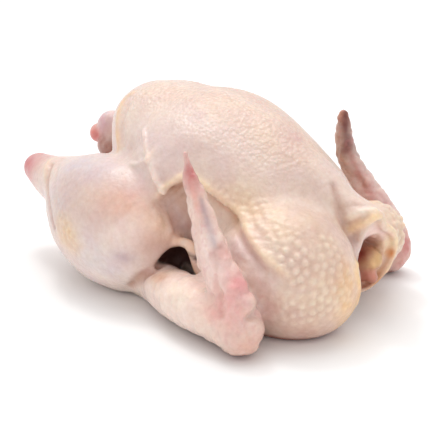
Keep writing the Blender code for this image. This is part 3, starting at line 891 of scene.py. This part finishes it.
# %% Inside the neck opening
def on_wall(distance):
    """3 s^2 - 2 s^3, where s falls from 1 at 0.3 mm off a hollow's wall to 0 at 2.3 mm."""
    return ease(1.5, -0.5, distance - 0.8)


in_deep, in_mouth = on_wall(deep_mouth(single)), on_wall(mouth_distance(single))
print(int((in_mouth > 0.5).sum()), "points are inside the neck opening")

# %% Raise and sink the skin
# From the middle of the back to the middle of the solid's base, where the frame has its origin.
MIDDLE = np.array([17.757, 1.085, 0.0])
flat_base = ease(0.3, 3.0, points[:, 2])
relief = lumps + rough + rings + pleats + ridges - grooves - dents + fold_lip + bumps
torn = 0.6 * cloud(points, 5, 41) + 0.5 * creases(points, 6, 42)
relief = relief * flat_base * (1 - 0.6 * in_deep) + torn * in_deep
skin_points = points + outward * relief[:, None] + MIDDLE
low, high = (np.array(corner) * 1000 for corner in solid_box)
skin_points = np.clip(skin_points, low, high)
print("relief from", relief.min().round(2), "to", relief.max().round(2), "mm")

# %% [markdown]
# ## Painting the skin
# One base colour would look like rubber.  Thin skin over muscle is grey-pink, skin over fat is
# cream to yellow, and cut joints are red.  Folds, creases and hollows are painted warmer and
# darker as painted shade, and strands and bump tops paler as painted highlights.  Every point
# gets a colour: a pale base, then soft spots and lines laid over it one after another.  The
# colours are kept in an attribute that the material reads.

# %% Colours as light
def linear(red, green, blue):
    """Screen values 0..255 to linear light: ((c + 0.055) / 1.055)^2.4."""
    c = np.array([red, green, blue]) / 255.0
    return np.where(c <= 0.04045, c / 12.92, ((c + 0.055) / 1.055) ** 2.4)


BASE = linear(233, 213, 203)
print("base colour as light", BASE.round(3))

# %% [markdown]
# ## Soft spots of colour
# Each spot has a name, a centre, a width along X, Y and Z, a screen colour, a strength, and
# whether it is on both sides of the bird.  Later spots lie over earlier ones, so the wide pale
# areas come first and the small strong marks last.

# %% Wide areas of leg and breast
WIDE_SPOTS = [
    ("leg cool", (-50, -62, 48), (45, 26, 34), (228, 210, 208), 0.6, True),
    ("breast cream", (0, 0, 112), (75, 30, 22), (234, 213, 200), 0.75, False),
    ("breast grey", (60, -28, 80), (36, 26, 22), (222, 200, 186), 0.7, True),
    ("breast grey rear", (-8, -44, 92), (34, 16, 20), (230, 213, 207), 0.75, True),
    ("pink spot", (52, 0, 98), (9, 7, 7), (216, 178, 176), 0.6, False),
    ("grey spot", (76, -33, 67), (8, 8, 7), (208, 182, 172), 0.5, False),
    ("shoulder top", (88, -36, 62), (18, 18, 11), (208, 174, 154), 0.6, True),
]
print(len(WIDE_SPOTS), "wide areas")

# %% Spots on the legs
LEG_SPOTS = [
    ("leg grey", (-58, -73, 58), (24, 14, 16), (208, 193, 194), 0.85, True),
    ("leg top lilac", (-56, -60, 73), (30, 12, 9), (214, 200, 206), 0.85, True),
    ("leg low grey", (-30, -79, 24), (26, 14, 16), (224, 214, 216), 0.85, True),
    ("leg blush", (-14, -68, 62), (20, 14, 10), (240, 190, 178), 0.75, True),
    ("leg blush low", (0, -64, 48), (11, 12, 11), (252, 216, 194), 0.6, True),
    ("leg fat", (-52, -81, 37), (10, 10, 11), (240, 206, 160), 0.75, False),
    ("leg pale", (-10, -75, 46), (13, 9, 8), (252, 234, 222), 0.7, True),
    ("leg lilac", (-8, -76, 33), (8, 7, 4), (188, 162, 168), 0.7, False),
    # Painted light: the back edge of the leg sits in shade and is painted paler to lift it.
    ("painted light on the leg's back edge", (7, -57, 52), (5, 6, 14), (255, 222, 192), 0.6, True),
    ("leg under blush", (4, -68, 40), (7, 8, 7), (200, 152, 130), 0.6, True),
    ("leg bottom", (-36, -72, 11), (26, 14, 9), (252, 238, 232), 0.7, True),
    ("shank end", (-134, -35, 53), (17, 18, 17), (206, 120, 124), 0.95, False),
    ("shank top", (-118, -41, 62), (10, 11, 9), (214, 160, 156), 0.7, False),
    ("shank red", (-128, -46, 52), (7, 6, 8), (214, 118, 124), 0.6, False),
    ("shank cream", (-104, -45, 62), (12, 12, 8), (238, 214, 196), 0.7, True),
]
print(len(LEG_SPOTS), "spots on the legs")

# %% Spots on the side of the breast, the flank and the shoulder
SIDE_SPOTS = [
    ("breast rose", (14, -43, 92), (16, 8, 9), (210, 184, 178), 0.6, True),
    # Partly the flank's own tan and grey-blue skin, partly painted shade on the flank sunk under the fold.
    ("flank tan and painted shade", (12, -50, 66), (13, 12, 12), (196, 154, 132), 0.85, True),
    ("flank blue and painted shade", (12, -48, 50), (11, 9, 9), (186, 150, 142), 0.85, True),
    ("dimple", (-31, -47, 85), (9, 9, 7), (214, 190, 182), 0.5, True),
    ("yellow tract", (54, -46, 67), (28, 14, 10), (248, 224, 190), 0.75, True),
    ("fold cream", (68, -53, 58), (15, 8, 7), (252, 232, 206), 0.8, True),
    ("shoulder tract", (98, -47, 38), (20, 18, 22), (234, 205, 180), 0.7, True),
    ("shoulder bottom", (90, -48, 8), (34, 20, 12), (222, 186, 170), 0.8, True),
    ("shoulder rose", (80, -61, 22), (12, 8, 12), (206, 166, 154), 0.6, True),
    ("shoulder yellow", (108, -29, 30), (6, 9, 18), (255, 206, 138), 0.75, True),
    ("wing hollow", (58, -56, 48), (26, 10, 17), (226, 204, 200), 0.85, True),
]
print(len(SIDE_SPOTS), "spots on the sides")

# %% Spots on the wings
WING_SPOTS = [
    ("forearm", (36, -79, 22), (30, 16, 14), (255, 238, 224), 0.9, True),
    # Painted shade where the forearm's root passes under the thigh.
    ("painted shade at the forearm root", (14, -73, 28), (10, 9, 6), (208, 162, 138), 0.7, True),
    ("forearm pink", (68, -85, 26), (13, 10, 10), (240, 192, 184), 0.75, True),
    ("wing end", (82, -78, 11), (12, 14, 11), (234, 186, 172), 0.75, True),
    ("hand", (55, -77, 60), (18, 10, 30), (240, 204, 194), 0.8, False),
    ("hand pale", (57, -79, 58), (7, 7, 11), (252, 234, 228), 0.8, False),
    ("hand low pale", (64, -82, 46), (8, 7, 9), (252, 226, 220), 0.7, False),
    ("hand tip", (41, -74, 90), (7, 9, 8.5), (198, 92, 92), 0.92, False),
    ("hand tip pale", (36, -73, 99), (4, 5, 4), (230, 186, 176), 0.8, False),
    ("thumb tip", (64, -76, 54), (5, 5, 5), (222, 176, 168), 0.8, False),
    ("pink mark", (75, -78, 40), (6, 8, 15), (232, 152, 154), 0.7, False),
    ("hand blotch", (72, -85, 29), (11, 7, 8), (234, 168, 168), 0.6, False),
    ("far tip", (38, 70, 93), (6, 9, 8), (150, 76, 58), 0.9, False),
    ("far tip edge", (35, 68, 98), (5, 8, 5), (214, 150, 120), 0.7, False),
    # The far hand is painted dark: partly its own brown skin, partly painted shade on its side away from the
    # light.
    ("far hand", (43, 66, 74), (11, 9, 12), (150, 104, 98), 0.85, False),
    ("far hand pale", (50, 65, 62), (8, 8, 8), (196, 172, 172), 0.6, False),
    ("far hand low", (66, 68, 46), (13, 10, 12), (220, 182, 176), 0.8, False),
    ("far wing edge", (84, 72, 22), (8, 12, 14), (210, 138, 134), 0.85, False),
]
print(len(WING_SPOTS), "spots on the wings")

# %% Spots on the far knuckles, the neck, the tail and the back
END_SPOTS = [
    ("far knuckle grey", (-126, 21, 74), (9, 11, 8), (218, 186, 194), 0.9, False),
    ("far knuckle red", (-137, 22, 64), (10, 11, 8), (226, 112, 108), 0.9, False),
    ("far shank brown", (-121, 18, 57), (12, 13, 9), (138, 60, 32), 0.95, False),
    ("neck web", (93, -4, 66), (12, 8, 7), (226, 200, 188), 0.7, False),
    ("web orange", (97, -6, 58), (6, 4, 4), (240, 204, 172), 0.5, False),
    ("collar", (100, 24, 40), (8, 14, 16), (255, 228, 194), 0.8, False),
    ("collar bottom", (96, 22, 16), (12, 14, 9), (226, 168, 112), 0.8, False),
    ("tail fat", (-98, 0, 40), (18, 14, 12), (234, 202, 166), 0.8, False),
    ("back", (-10, 0, 8), (90, 40, 10), (228, 202, 186), 0.7, False),
]
SPOTS = WIDE_SPOTS + LEG_SPOTS + SIDE_SPOTS + WING_SPOTS + END_SPOTS
print(len(SPOTS), "spots in all")

# %% [markdown]
# ## Painted lines and the inside of the neck
# Some lines are the skin's own colour: yellow fat along the strip and the shoulder's rim, veins,
# and the dark core of the far wing's tip.  Others are painted light and shade: a crease is painted
# darker than its depth alone would shade it, as painted shade, and a strand or a ridge of skin is
# painted paler, as a painted highlight.  So the same lines that shaped them are painted, widened a
# little.  Inside the neck opening the colours are stronger: white membrane, dark red flesh and
# the cream end of the neck.

# %% Painted lines
# A line has a name, its rows, a factor on their widths, a colour, a strength, and whether it is
# on both sides of the bird.
LINES = [
    ("strip", RIDGES["strip"][0], 1.2, (238, 206, 170), 0.8, True),
    # Painted highlights along the strand and its branch.
    ("strand", RIDGES["strand"][0], 1.0, (255, 238, 226), 0.85, False),
    ("strand branch", RIDGES["strand branch"][0], 1.2, (255, 232, 216), 0.8, False),
    # Painted shade in the grooves behind the leg and under the thigh.
    ("behind the leg", GROOVES["behind the leg"][0], 1.6, (170, 128, 108), 0.6, True),
    ("under the thigh", GROOVES["under the thigh"][0], 1.3, (176, 118, 94), 0.6, True),
    # Painted highlights along the web's ridge and the top of the lip.
    ("web ridge", RIDGES["web ridge"][0], 1.2, (252, 236, 220), 0.7, False),
    ("lip top", RIDGES["lip top"][0], 1.2, (252, 226, 200), 0.7, False),
    ("cuff", RIDGES["cuff"][0], 1.3, (242, 224, 200), 0.7, True),
    ("far vein", [(38, 69, 98, 2.6), (39.5, 67, 88, 3.1), (43, 65, 77, 2.9)], 1, (112, 48, 38), 0.85, False),
    ("far red", [(45, 64, 73, 2), (53, 64, 59, 2.6), (62, 66, 48, 2.4)], 1.2, (188, 108, 94), 0.7, False),
    ("far pale", [(48, 67, 71, 2), (57, 67, 58, 2.6), (66, 69, 49, 2.4)], 1.0, (232, 200, 192), 0.6, False),
    ("hand vein", GROOVES["hand vein"][0], 1.4, (136, 118, 146), 0.75, False),
    ("hand edge", [(48, -79, 71, 2), (44, -77, 80, 2), (42, -75, 86, 1.6)], 1.2, (234, 176, 166), 0.6, False),
    ("shoulder rim", RIDGES["shoulder rim"][0], 1.8, (255, 216, 152), 0.95, False),
    ("shoulder edge", [(107, -18, 24, 3), (106, -21, 15, 3.5), (101, -27, 8, 3.5)], 1.5,
     (240, 196, 146), 0.8, False),
    # Painted shade in the shoulder crease.
    ("shoulder crease", GROOVES["shoulder crease"][0], 1.0, (206, 176, 166), 0.6, False),
    ("collar lip", RIDGES["collar lip"][0], 1.3, (252, 222, 182), 0.75, False),
    # Painted shade in the knee fold, and a painted highlight on the arch of skin.
    ("knee fold", GROOVES["knee fold"][0], 1.2, (208, 186, 180), 0.5, True),
    ("arch", SKIN_ARCH, 1.3, (255, 212, 178), 0.8, True),
]
print(len(LINES), "painted lines")

# %% Spots inside the neck opening
MOUTH_SPOTS = [
    ("membrane", (98, 13, 50), (10, 14, 8), (252, 222, 218), 0.9),
    ("membrane low", (96, 17, 43), (8, 6, 5), (226, 186, 174), 0.8),
    ("dark red", (89, 7, 38), (8, 6, 9), (140, 34, 32), 0.95),
    ("stump", (97, 14, 32), (8, 8, 7), (236, 198, 140), 0.95),
    ("stump red", (91, 8, 37), (5.5, 5, 6), (150, 38, 38), 0.9),
    ("stump pink", (96, 14, 22), (6, 7, 4), (224, 150, 128), 0.9),
    ("bottom", (93, 14, 14), (10, 12, 5), (158, 84, 46), 0.9),
    ("flap", (99, 29, 36), (5, 7, 8), (255, 238, 208), 0.8),
    ("flap orange", (98, 29, 31), (4, 4, 4), (226, 144, 66), 0.9),
]
print(len(MOUTH_SPOTS), "spots inside the neck opening")

# %% [markdown]
# ## Laying the colours over each other
# A colour is laid over another by a share, like thin paint.  The shares are broken up by small
# clouds, because an even round spot looks sprayed on.

# %% Spots laid over the base
def laid_over(colours, amount, colour):
    """colour * amount + what was there * (1 - amount)."""
    return colours + (linear(*colour) - colours) * np.clip(amount, 0, 1)[:, None]


ragged = 1 + 0.35 * cloud(points, 6, 11) + 0.25 * cloud(points, 2.6, 12)
colours = np.repeat(BASE[None], len(points), axis=0)
for _, centre, width, colour, strength, both in SPOTS:
    for amount in spots_on(centre, width, both):
        colours = laid_over(colours, strength * amount * ragged, colour)
print("mean colour with the spots", colours.mean(axis=0).round(3))

# %% The flank's fold and the painted lines
FOLD_SHADE, FOLD_EDGE = (222, 172, 128), (255, 232, 198)
fold_front = on_flank * ease(18, 28, points[:, 0]) * ease(62, 42, points[:, 0]) * ragged
colours = laid_over(colours, 0.55 * fold_front * lip_under, FOLD_SHADE)
colours = laid_over(colours, 0.75 * on_flank * lip_top * ragged, FOLD_EDGE)
for _, rows, wide, colour, strength, both in LINES:
    for line in (rows, mirrored(rows)) if both else (rows,):
        widened = [(*row[:3], row[3] * wide) for row in line]
        colours = laid_over(colours, strength * along_line(points, widened) * ragged, colour)
print("mean colour with the lines", colours.mean(axis=0).round(3))

# %% [markdown]
# ## Inside the hollows
# What lies inside a hollow is painted after the skin round it, because the soft spots outside
# spread into it.  The mask from the relief keeps the new paint in, except on the end of the
# neck, which stands clear of the hollow's wall.  The walls of the hollows behind the forearms
# are painted nearly black, red-brown, as painted shade.

# %% Neck opening, and painted shade in the hollows behind the forearms
DEEP_FLESH, HOLLOW_PAINTED_SHADE = (170, 104, 84), (74, 26, 18)
colours = laid_over(colours, 0.9 * in_deep, DEEP_FLESH)
for name, centre, width, colour, strength in MOUTH_SPOTS:
    amount = spot(points, centre, width) * (1.0 if name.startswith("stump") else in_mouth)
    colours = laid_over(colours, strength * amount * ragged, colour)
# Painted shade: the walls of the hollows behind the forearms are painted nearly black, red-brown.
for pocket in (POCKET, mirrored_ball(POCKET)):
    near_wall = ease(2.2, 0.4, np.abs(ball_distance(points, pocket)))
    inner = ease(61, 54, sideways) * ease(40, 34, points[:, 2])
    colours = laid_over(colours, 0.96 * near_wall * inner, HOLLOW_PAINTED_SHADE)
print("mean colour with the hollows", colours.mean(axis=0).round(3))

# %% [markdown]
# ## Painted light and shade on bumps, creases and base, and veins
# The last paint follows the relief: bump tops are painted paler as painted highlights, and the
# skin between the bumps and the creases darker as painted shade.  The rim that touches the
# worktop gets a dark red-brown painted contact shadow, and fine pink veins show through the
# thin skin of the wings.

# %% Paint that follows the relief
# Where the skin comes close to the worktop: the mask of the painted contact shadow.
worktop_contact_shade = ease(4.5, 1, points[:, 2]) * ease(-20, 15, points[:, 0])
veins = np.clip(1 - np.abs(cloud(points, 5, 31)) * 9, 0, 1) * wings
LAST_PAINT = {
    # Painted highlights on the bump tops, and painted shade between the bumps and in the creases.
    "painted highlight on bump tops": (0.35 * bump_top, (252, 238, 214)),
    "painted shade between bumps": (0.24 * np.clip(tract_mask - 1.2 * bump_top, 0, 1), (216, 172, 142)),
    "creases": (np.clip(0.16 * grooves, 0, 0.35), (196, 140, 118)),
    # Painted contact shadow, dark red-brown, on the rim that touches the worktop.
    "painted contact shadow by the worktop": (0.85 * worktop_contact_shade, (160, 78, 56)),
    "pink veins": (0.3 * veins, (214, 140, 142)),
}
for amount, colour in LAST_PAINT.values():
    colours = laid_over(colours, amount, colour)
print("mean colour in the end", colours.mean(axis=0).round(3))

# %% [markdown]
# ## The skin as one piece
# The points and faces go into one mesh in whole arrays.  The paint becomes a colour attribute,
# and a second attribute says how much the fine follicles show: most along the ridge of the
# breast, and not at all inside the neck.

# %% Skin mesh
mesh = bpy.data.meshes.new("bird skin")
mesh.vertices.add(len(skin_points))
mesh.vertices.foreach_set("co", (skin_points / 1000).astype(np.float32).ravel())
mesh.loops.add(faces.size)
mesh.loops.foreach_set("vertex_index", faces.ravel().astype(np.int32))
mesh.polygons.add(len(faces))
mesh.polygons.foreach_set("loop_start", np.arange(0, faces.size, 4, dtype=np.int32))
mesh.polygons.foreach_set("loop_total", np.full(len(faces), 4, np.int32))
mesh.polygons.foreach_set("use_smooth", np.ones(len(faces), bool))
mesh.update(calc_edges=True)
mesh.validate()
print("mesh has", len(mesh.vertices), "points and", len(mesh.polygons), "faces")

# %% Attributes, and the skin as a piece
tint = mesh.attributes.new("tint", "FLOAT_COLOR", "POINT")
tint.data.foreach_set("color", np.column_stack([colours, np.ones(len(colours))]).astype(np.float32).ravel())
follicles = mesh.attributes.new("follicles", "FLOAT", "POINT")
fine = np.clip(0.25 + along_line(points, [(-45, -18, 110, 16), (0, -16, 112, 20), (50, -12, 96, 20)]), 0, 1)
follicles.data.foreach_set("value", (fine * (1 - in_mouth)).astype(np.float32))
skin = bpy.data.objects.new("bird_skin", mesh)
bpy.context.scene.collection.objects.link(skin)
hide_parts("chicken")
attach(skin, "root")
print("skin has", 2 * len(faces), "triangles")

# %% [markdown]
# ## The look of moist skin
# Raw skin lets light in a few millimetres and scatters it red, so it needs subsurface
# scattering.  A thin coat stands for the moisture.  The finest grain, pores and tiny wrinkles
# below a millimetre, is bump from noise, because faces that small would be wasted.

# %% New material, and helpers for its nodes
def set_inputs(node, settings):
    """Each named input of the node is given its value."""
    for name, setting in settings.items():
        node.inputs[name].default_value = setting


def new_node(tree, kind, **settings):
    """A node with its inputs and properties set by name."""
    made = tree.nodes.new(kind)
    for key, setting in settings.items():
        if key in made.inputs:
            made.inputs[key].default_value = setting
        else:
            setattr(made, key, setting)
    return made


def ramp(tree, source, start, end, dark, light):
    """A ramp from dark at start to light at end, fed by the source."""
    made = tree.nodes.new("ShaderNodeValToRGB")
    for stop, place, colour in zip(made.color_ramp.elements, (start, end), (dark, light)):
        stop.position = place
        stop.color = (*colour, 1.0)
    tree.links.new(source, made.inputs["Fac"])
    return made.outputs["Color"]


def multiplied(tree, a, b):
    """The two colours multiplied."""
    made = new_node(tree, "ShaderNodeMix", data_type="RGBA", blend_type="MULTIPLY")
    made.inputs["Factor"].default_value = 1.0
    tree.links.new(a, made.inputs["A"])
    tree.links.new(b, made.inputs["B"])
    return made.outputs["Result"]


def noise(tree, place, scale, detail, roughness=0.55):
    """Noise on the object's own coordinates, its scale in cycles a metre."""
    made = new_node(tree, "ShaderNodeTexNoise", Scale=scale, Detail=detail, Roughness=roughness)
    tree.links.new(place.outputs["Object"], made.inputs["Vector"])
    return made.outputs["Fac"]


material = bpy.data.materials.new("moist chicken skin")
material.use_nodes = True
tree = material.node_tree
print("new material:", material.name)

# %% Skin material
# The radii say how far red, green and blue light travel in flesh, times the scale in metres.
shader = tree.nodes["Principled BSDF"]
set_inputs(shader, {"Subsurface Weight": 0.22, "Subsurface Radius": (1.0, 0.42, 0.26),
                    "Subsurface Scale": 0.0016, "Coat Weight": 0.5, "Coat Roughness": 0.15,
                    "Specular IOR Level": 0.5})
place = tree.nodes.new("ShaderNodeTexCoord")
tinted = new_node(tree, "ShaderNodeAttribute", attribute_name="tint")
mottle = ramp(tree, noise(tree, place, 300.0, 6.0, 0.65), 0.32, 0.68, (0.90, 0.85, 0.82), (1.0, 1.0, 1.0))
blotch = ramp(tree, noise(tree, place, 55.0, 3.0), 0.36, 0.64, (0.95, 0.90, 0.92), (1.0, 0.99, 0.95))
tree.links.new(multiplied(tree, multiplied(tree, tinted.outputs["Color"], mottle), blotch),
               shader.inputs["Base Color"])
wetness = ramp(tree, noise(tree, place, 120.0, 3.0), 0.35, 0.65, (0.42, 0.42, 0.42), (0.62, 0.62, 0.62))
tree.links.new(wetness, shader.inputs["Roughness"])
print("material has", len(tree.nodes), "nodes")

# %% [markdown]
# ## Fine grain, follicles and tiny wrinkles
# Follicles are small domes close together, so cells round scattered points give them, weaker
# where the attribute is low.  Noise adds wrinkles.  The skin itself is bumped a little, and the
# wet coat on it more, because it is the coat that glitters.

# %% Bump
def scaled_sum(tree, *terms):
    """first * second + third, each of them a node's output or a plain number."""
    made = new_node(tree, "ShaderNodeMath", operation="MULTIPLY_ADD")
    for socket, term in zip(made.inputs, terms):
        if isinstance(term, float):
            socket.default_value = term
        else:
            tree.links.new(term, socket)
    return made.outputs["Value"]


pores = new_node(tree, "ShaderNodeTexVoronoi", feature="F1", Scale=430.0, Randomness=0.8)
tree.links.new(place.outputs["Object"], pores.inputs["Vector"])
follicle = new_node(tree, "ShaderNodeAttribute", attribute_name="follicles")
raised = scaled_sum(tree, pores.outputs["Distance"], -1.0, 0.5)
wrinkles = noise(tree, place, 420.0, 4.0, 0.6)
height = scaled_sum(tree, raised, follicle.outputs["Fac"], 0.0)
height = scaled_sum(tree, wrinkles, 0.6, height)
for socket, strength in (("Normal", 0.45), ("Coat Normal", 1.0)):
    bump = new_node(tree, "ShaderNodeBump", Strength=strength, Distance=0.0009)
    tree.links.new(height, bump.inputs["Height"])
    tree.links.new(bump.outputs["Normal"], shader.inputs[socket])
skin.data.materials.append(material)
print("material has", len(tree.nodes), "nodes with its bump")

# %% [markdown]
# ## White worktop
# Food is often shown on white, so that its own colour is true.  The worktop is a plain pale
# sheet, hardly glossy, and it throws light back up under the thighs.  It is a stage and no part
# of the bird.

# %% Floor
FLOOR_SIZE, FLOOR_DROP = 12.0, 0.0002
bpy.ops.mesh.primitive_plane_add(size=FLOOR_SIZE, location=(0, 0, -FLOOR_DROP))
floor = bpy.context.object
floor.name = "worktop"
white = bpy.data.materials.new("white worktop")
white.use_nodes = True
set_inputs(white.node_tree.nodes["Principled BSDF"],
           {"Base Color": (0.93, 0.93, 0.93, 1), "Roughness": 0.9, "Specular IOR Level": 0.1})
floor.data.materials.append(white)
print("worktop", FLOOR_SIZE, "m wide,", 1000 * FLOOR_DROP, "mm under the bird")

# %% [markdown]
# ## Soft light
# A broad soft sun stands nearly overhead, a little behind the bird, so shadows are faint and lie
# close round it.  The sky is a plain pale dome, and one small panel gives the moist bumps their
# glints.

# %% Lights and dome
def light(name, kind, place, aim, power, spread):
    """A lamp at place that faces aim; spread is a panel's side or a sun's angle in radians."""
    data = bpy.data.lights.new(name, kind)
    data.energy = power
    if kind == "AREA":
        data.shape, data.size = "SQUARE", spread
    else:
        data.angle = spread
    made = bpy.data.objects.new(name, data)
    made.location = place
    made.rotation_euler = (Vector(aim) - Vector(place)).to_track_quat("-Z", "Y").to_euler()
    bpy.context.scene.collection.objects.link(made)
    return made


sun = light("soft sun", "SUN", (-0.2, 0.22, 1.0), (0, 0, 0), 1.12, radians(50))
panel = light("glint panel", "AREA", (-0.35, 0.1, 0.9), (0, 0, 0.08), 1.3, 0.16)
print("lights:", sun.name, "and", panel.name)

# %% Dome and colours on screen
dome = bpy.data.worlds.new("pale dome")
dome.use_nodes = True
set_inputs(dome.node_tree.nodes["Background"], {"Color": (1.0, 1.0, 1.0, 1), "Strength": 0.84})
bpy.context.scene.world = dome
bpy.context.scene.view_settings.view_transform = "Standard"
bpy.context.scene.view_settings.look = "None"
print("world:", dome.name)

# %% [markdown]
# ## Camera
# The bird is seen from its neck end and near side, from a little above, through a long lens that
# keeps the near wing from looking too large.

# %% Camera
AZIMUTH, ELEVATION, AWAY = 40.54, 19.35, 0.6
TARGET = Vector((0.017757, -0.000815, 0.0353))
camera_data = bpy.data.cameras.new("studio camera")
camera_data.lens, camera_data.sensor_width = 80.2, 36.0
camera = bpy.data.objects.new("studio camera", camera_data)
back = Vector((sin(radians(AZIMUTH)) * cos(radians(ELEVATION)),
               -cos(radians(AZIMUTH)) * cos(radians(ELEVATION)), sin(radians(ELEVATION))))
camera.location = TARGET + back * AWAY
camera.rotation_euler = (-back).to_track_quat("-Z", "Y").to_euler()
camera_data.clip_start, camera_data.clip_end = 0.01, 50.0
bpy.context.scene.collection.objects.link(camera)
bpy.context.scene.camera = camera
print("camera at", [round(v, 3) for v in camera.location], "metres")
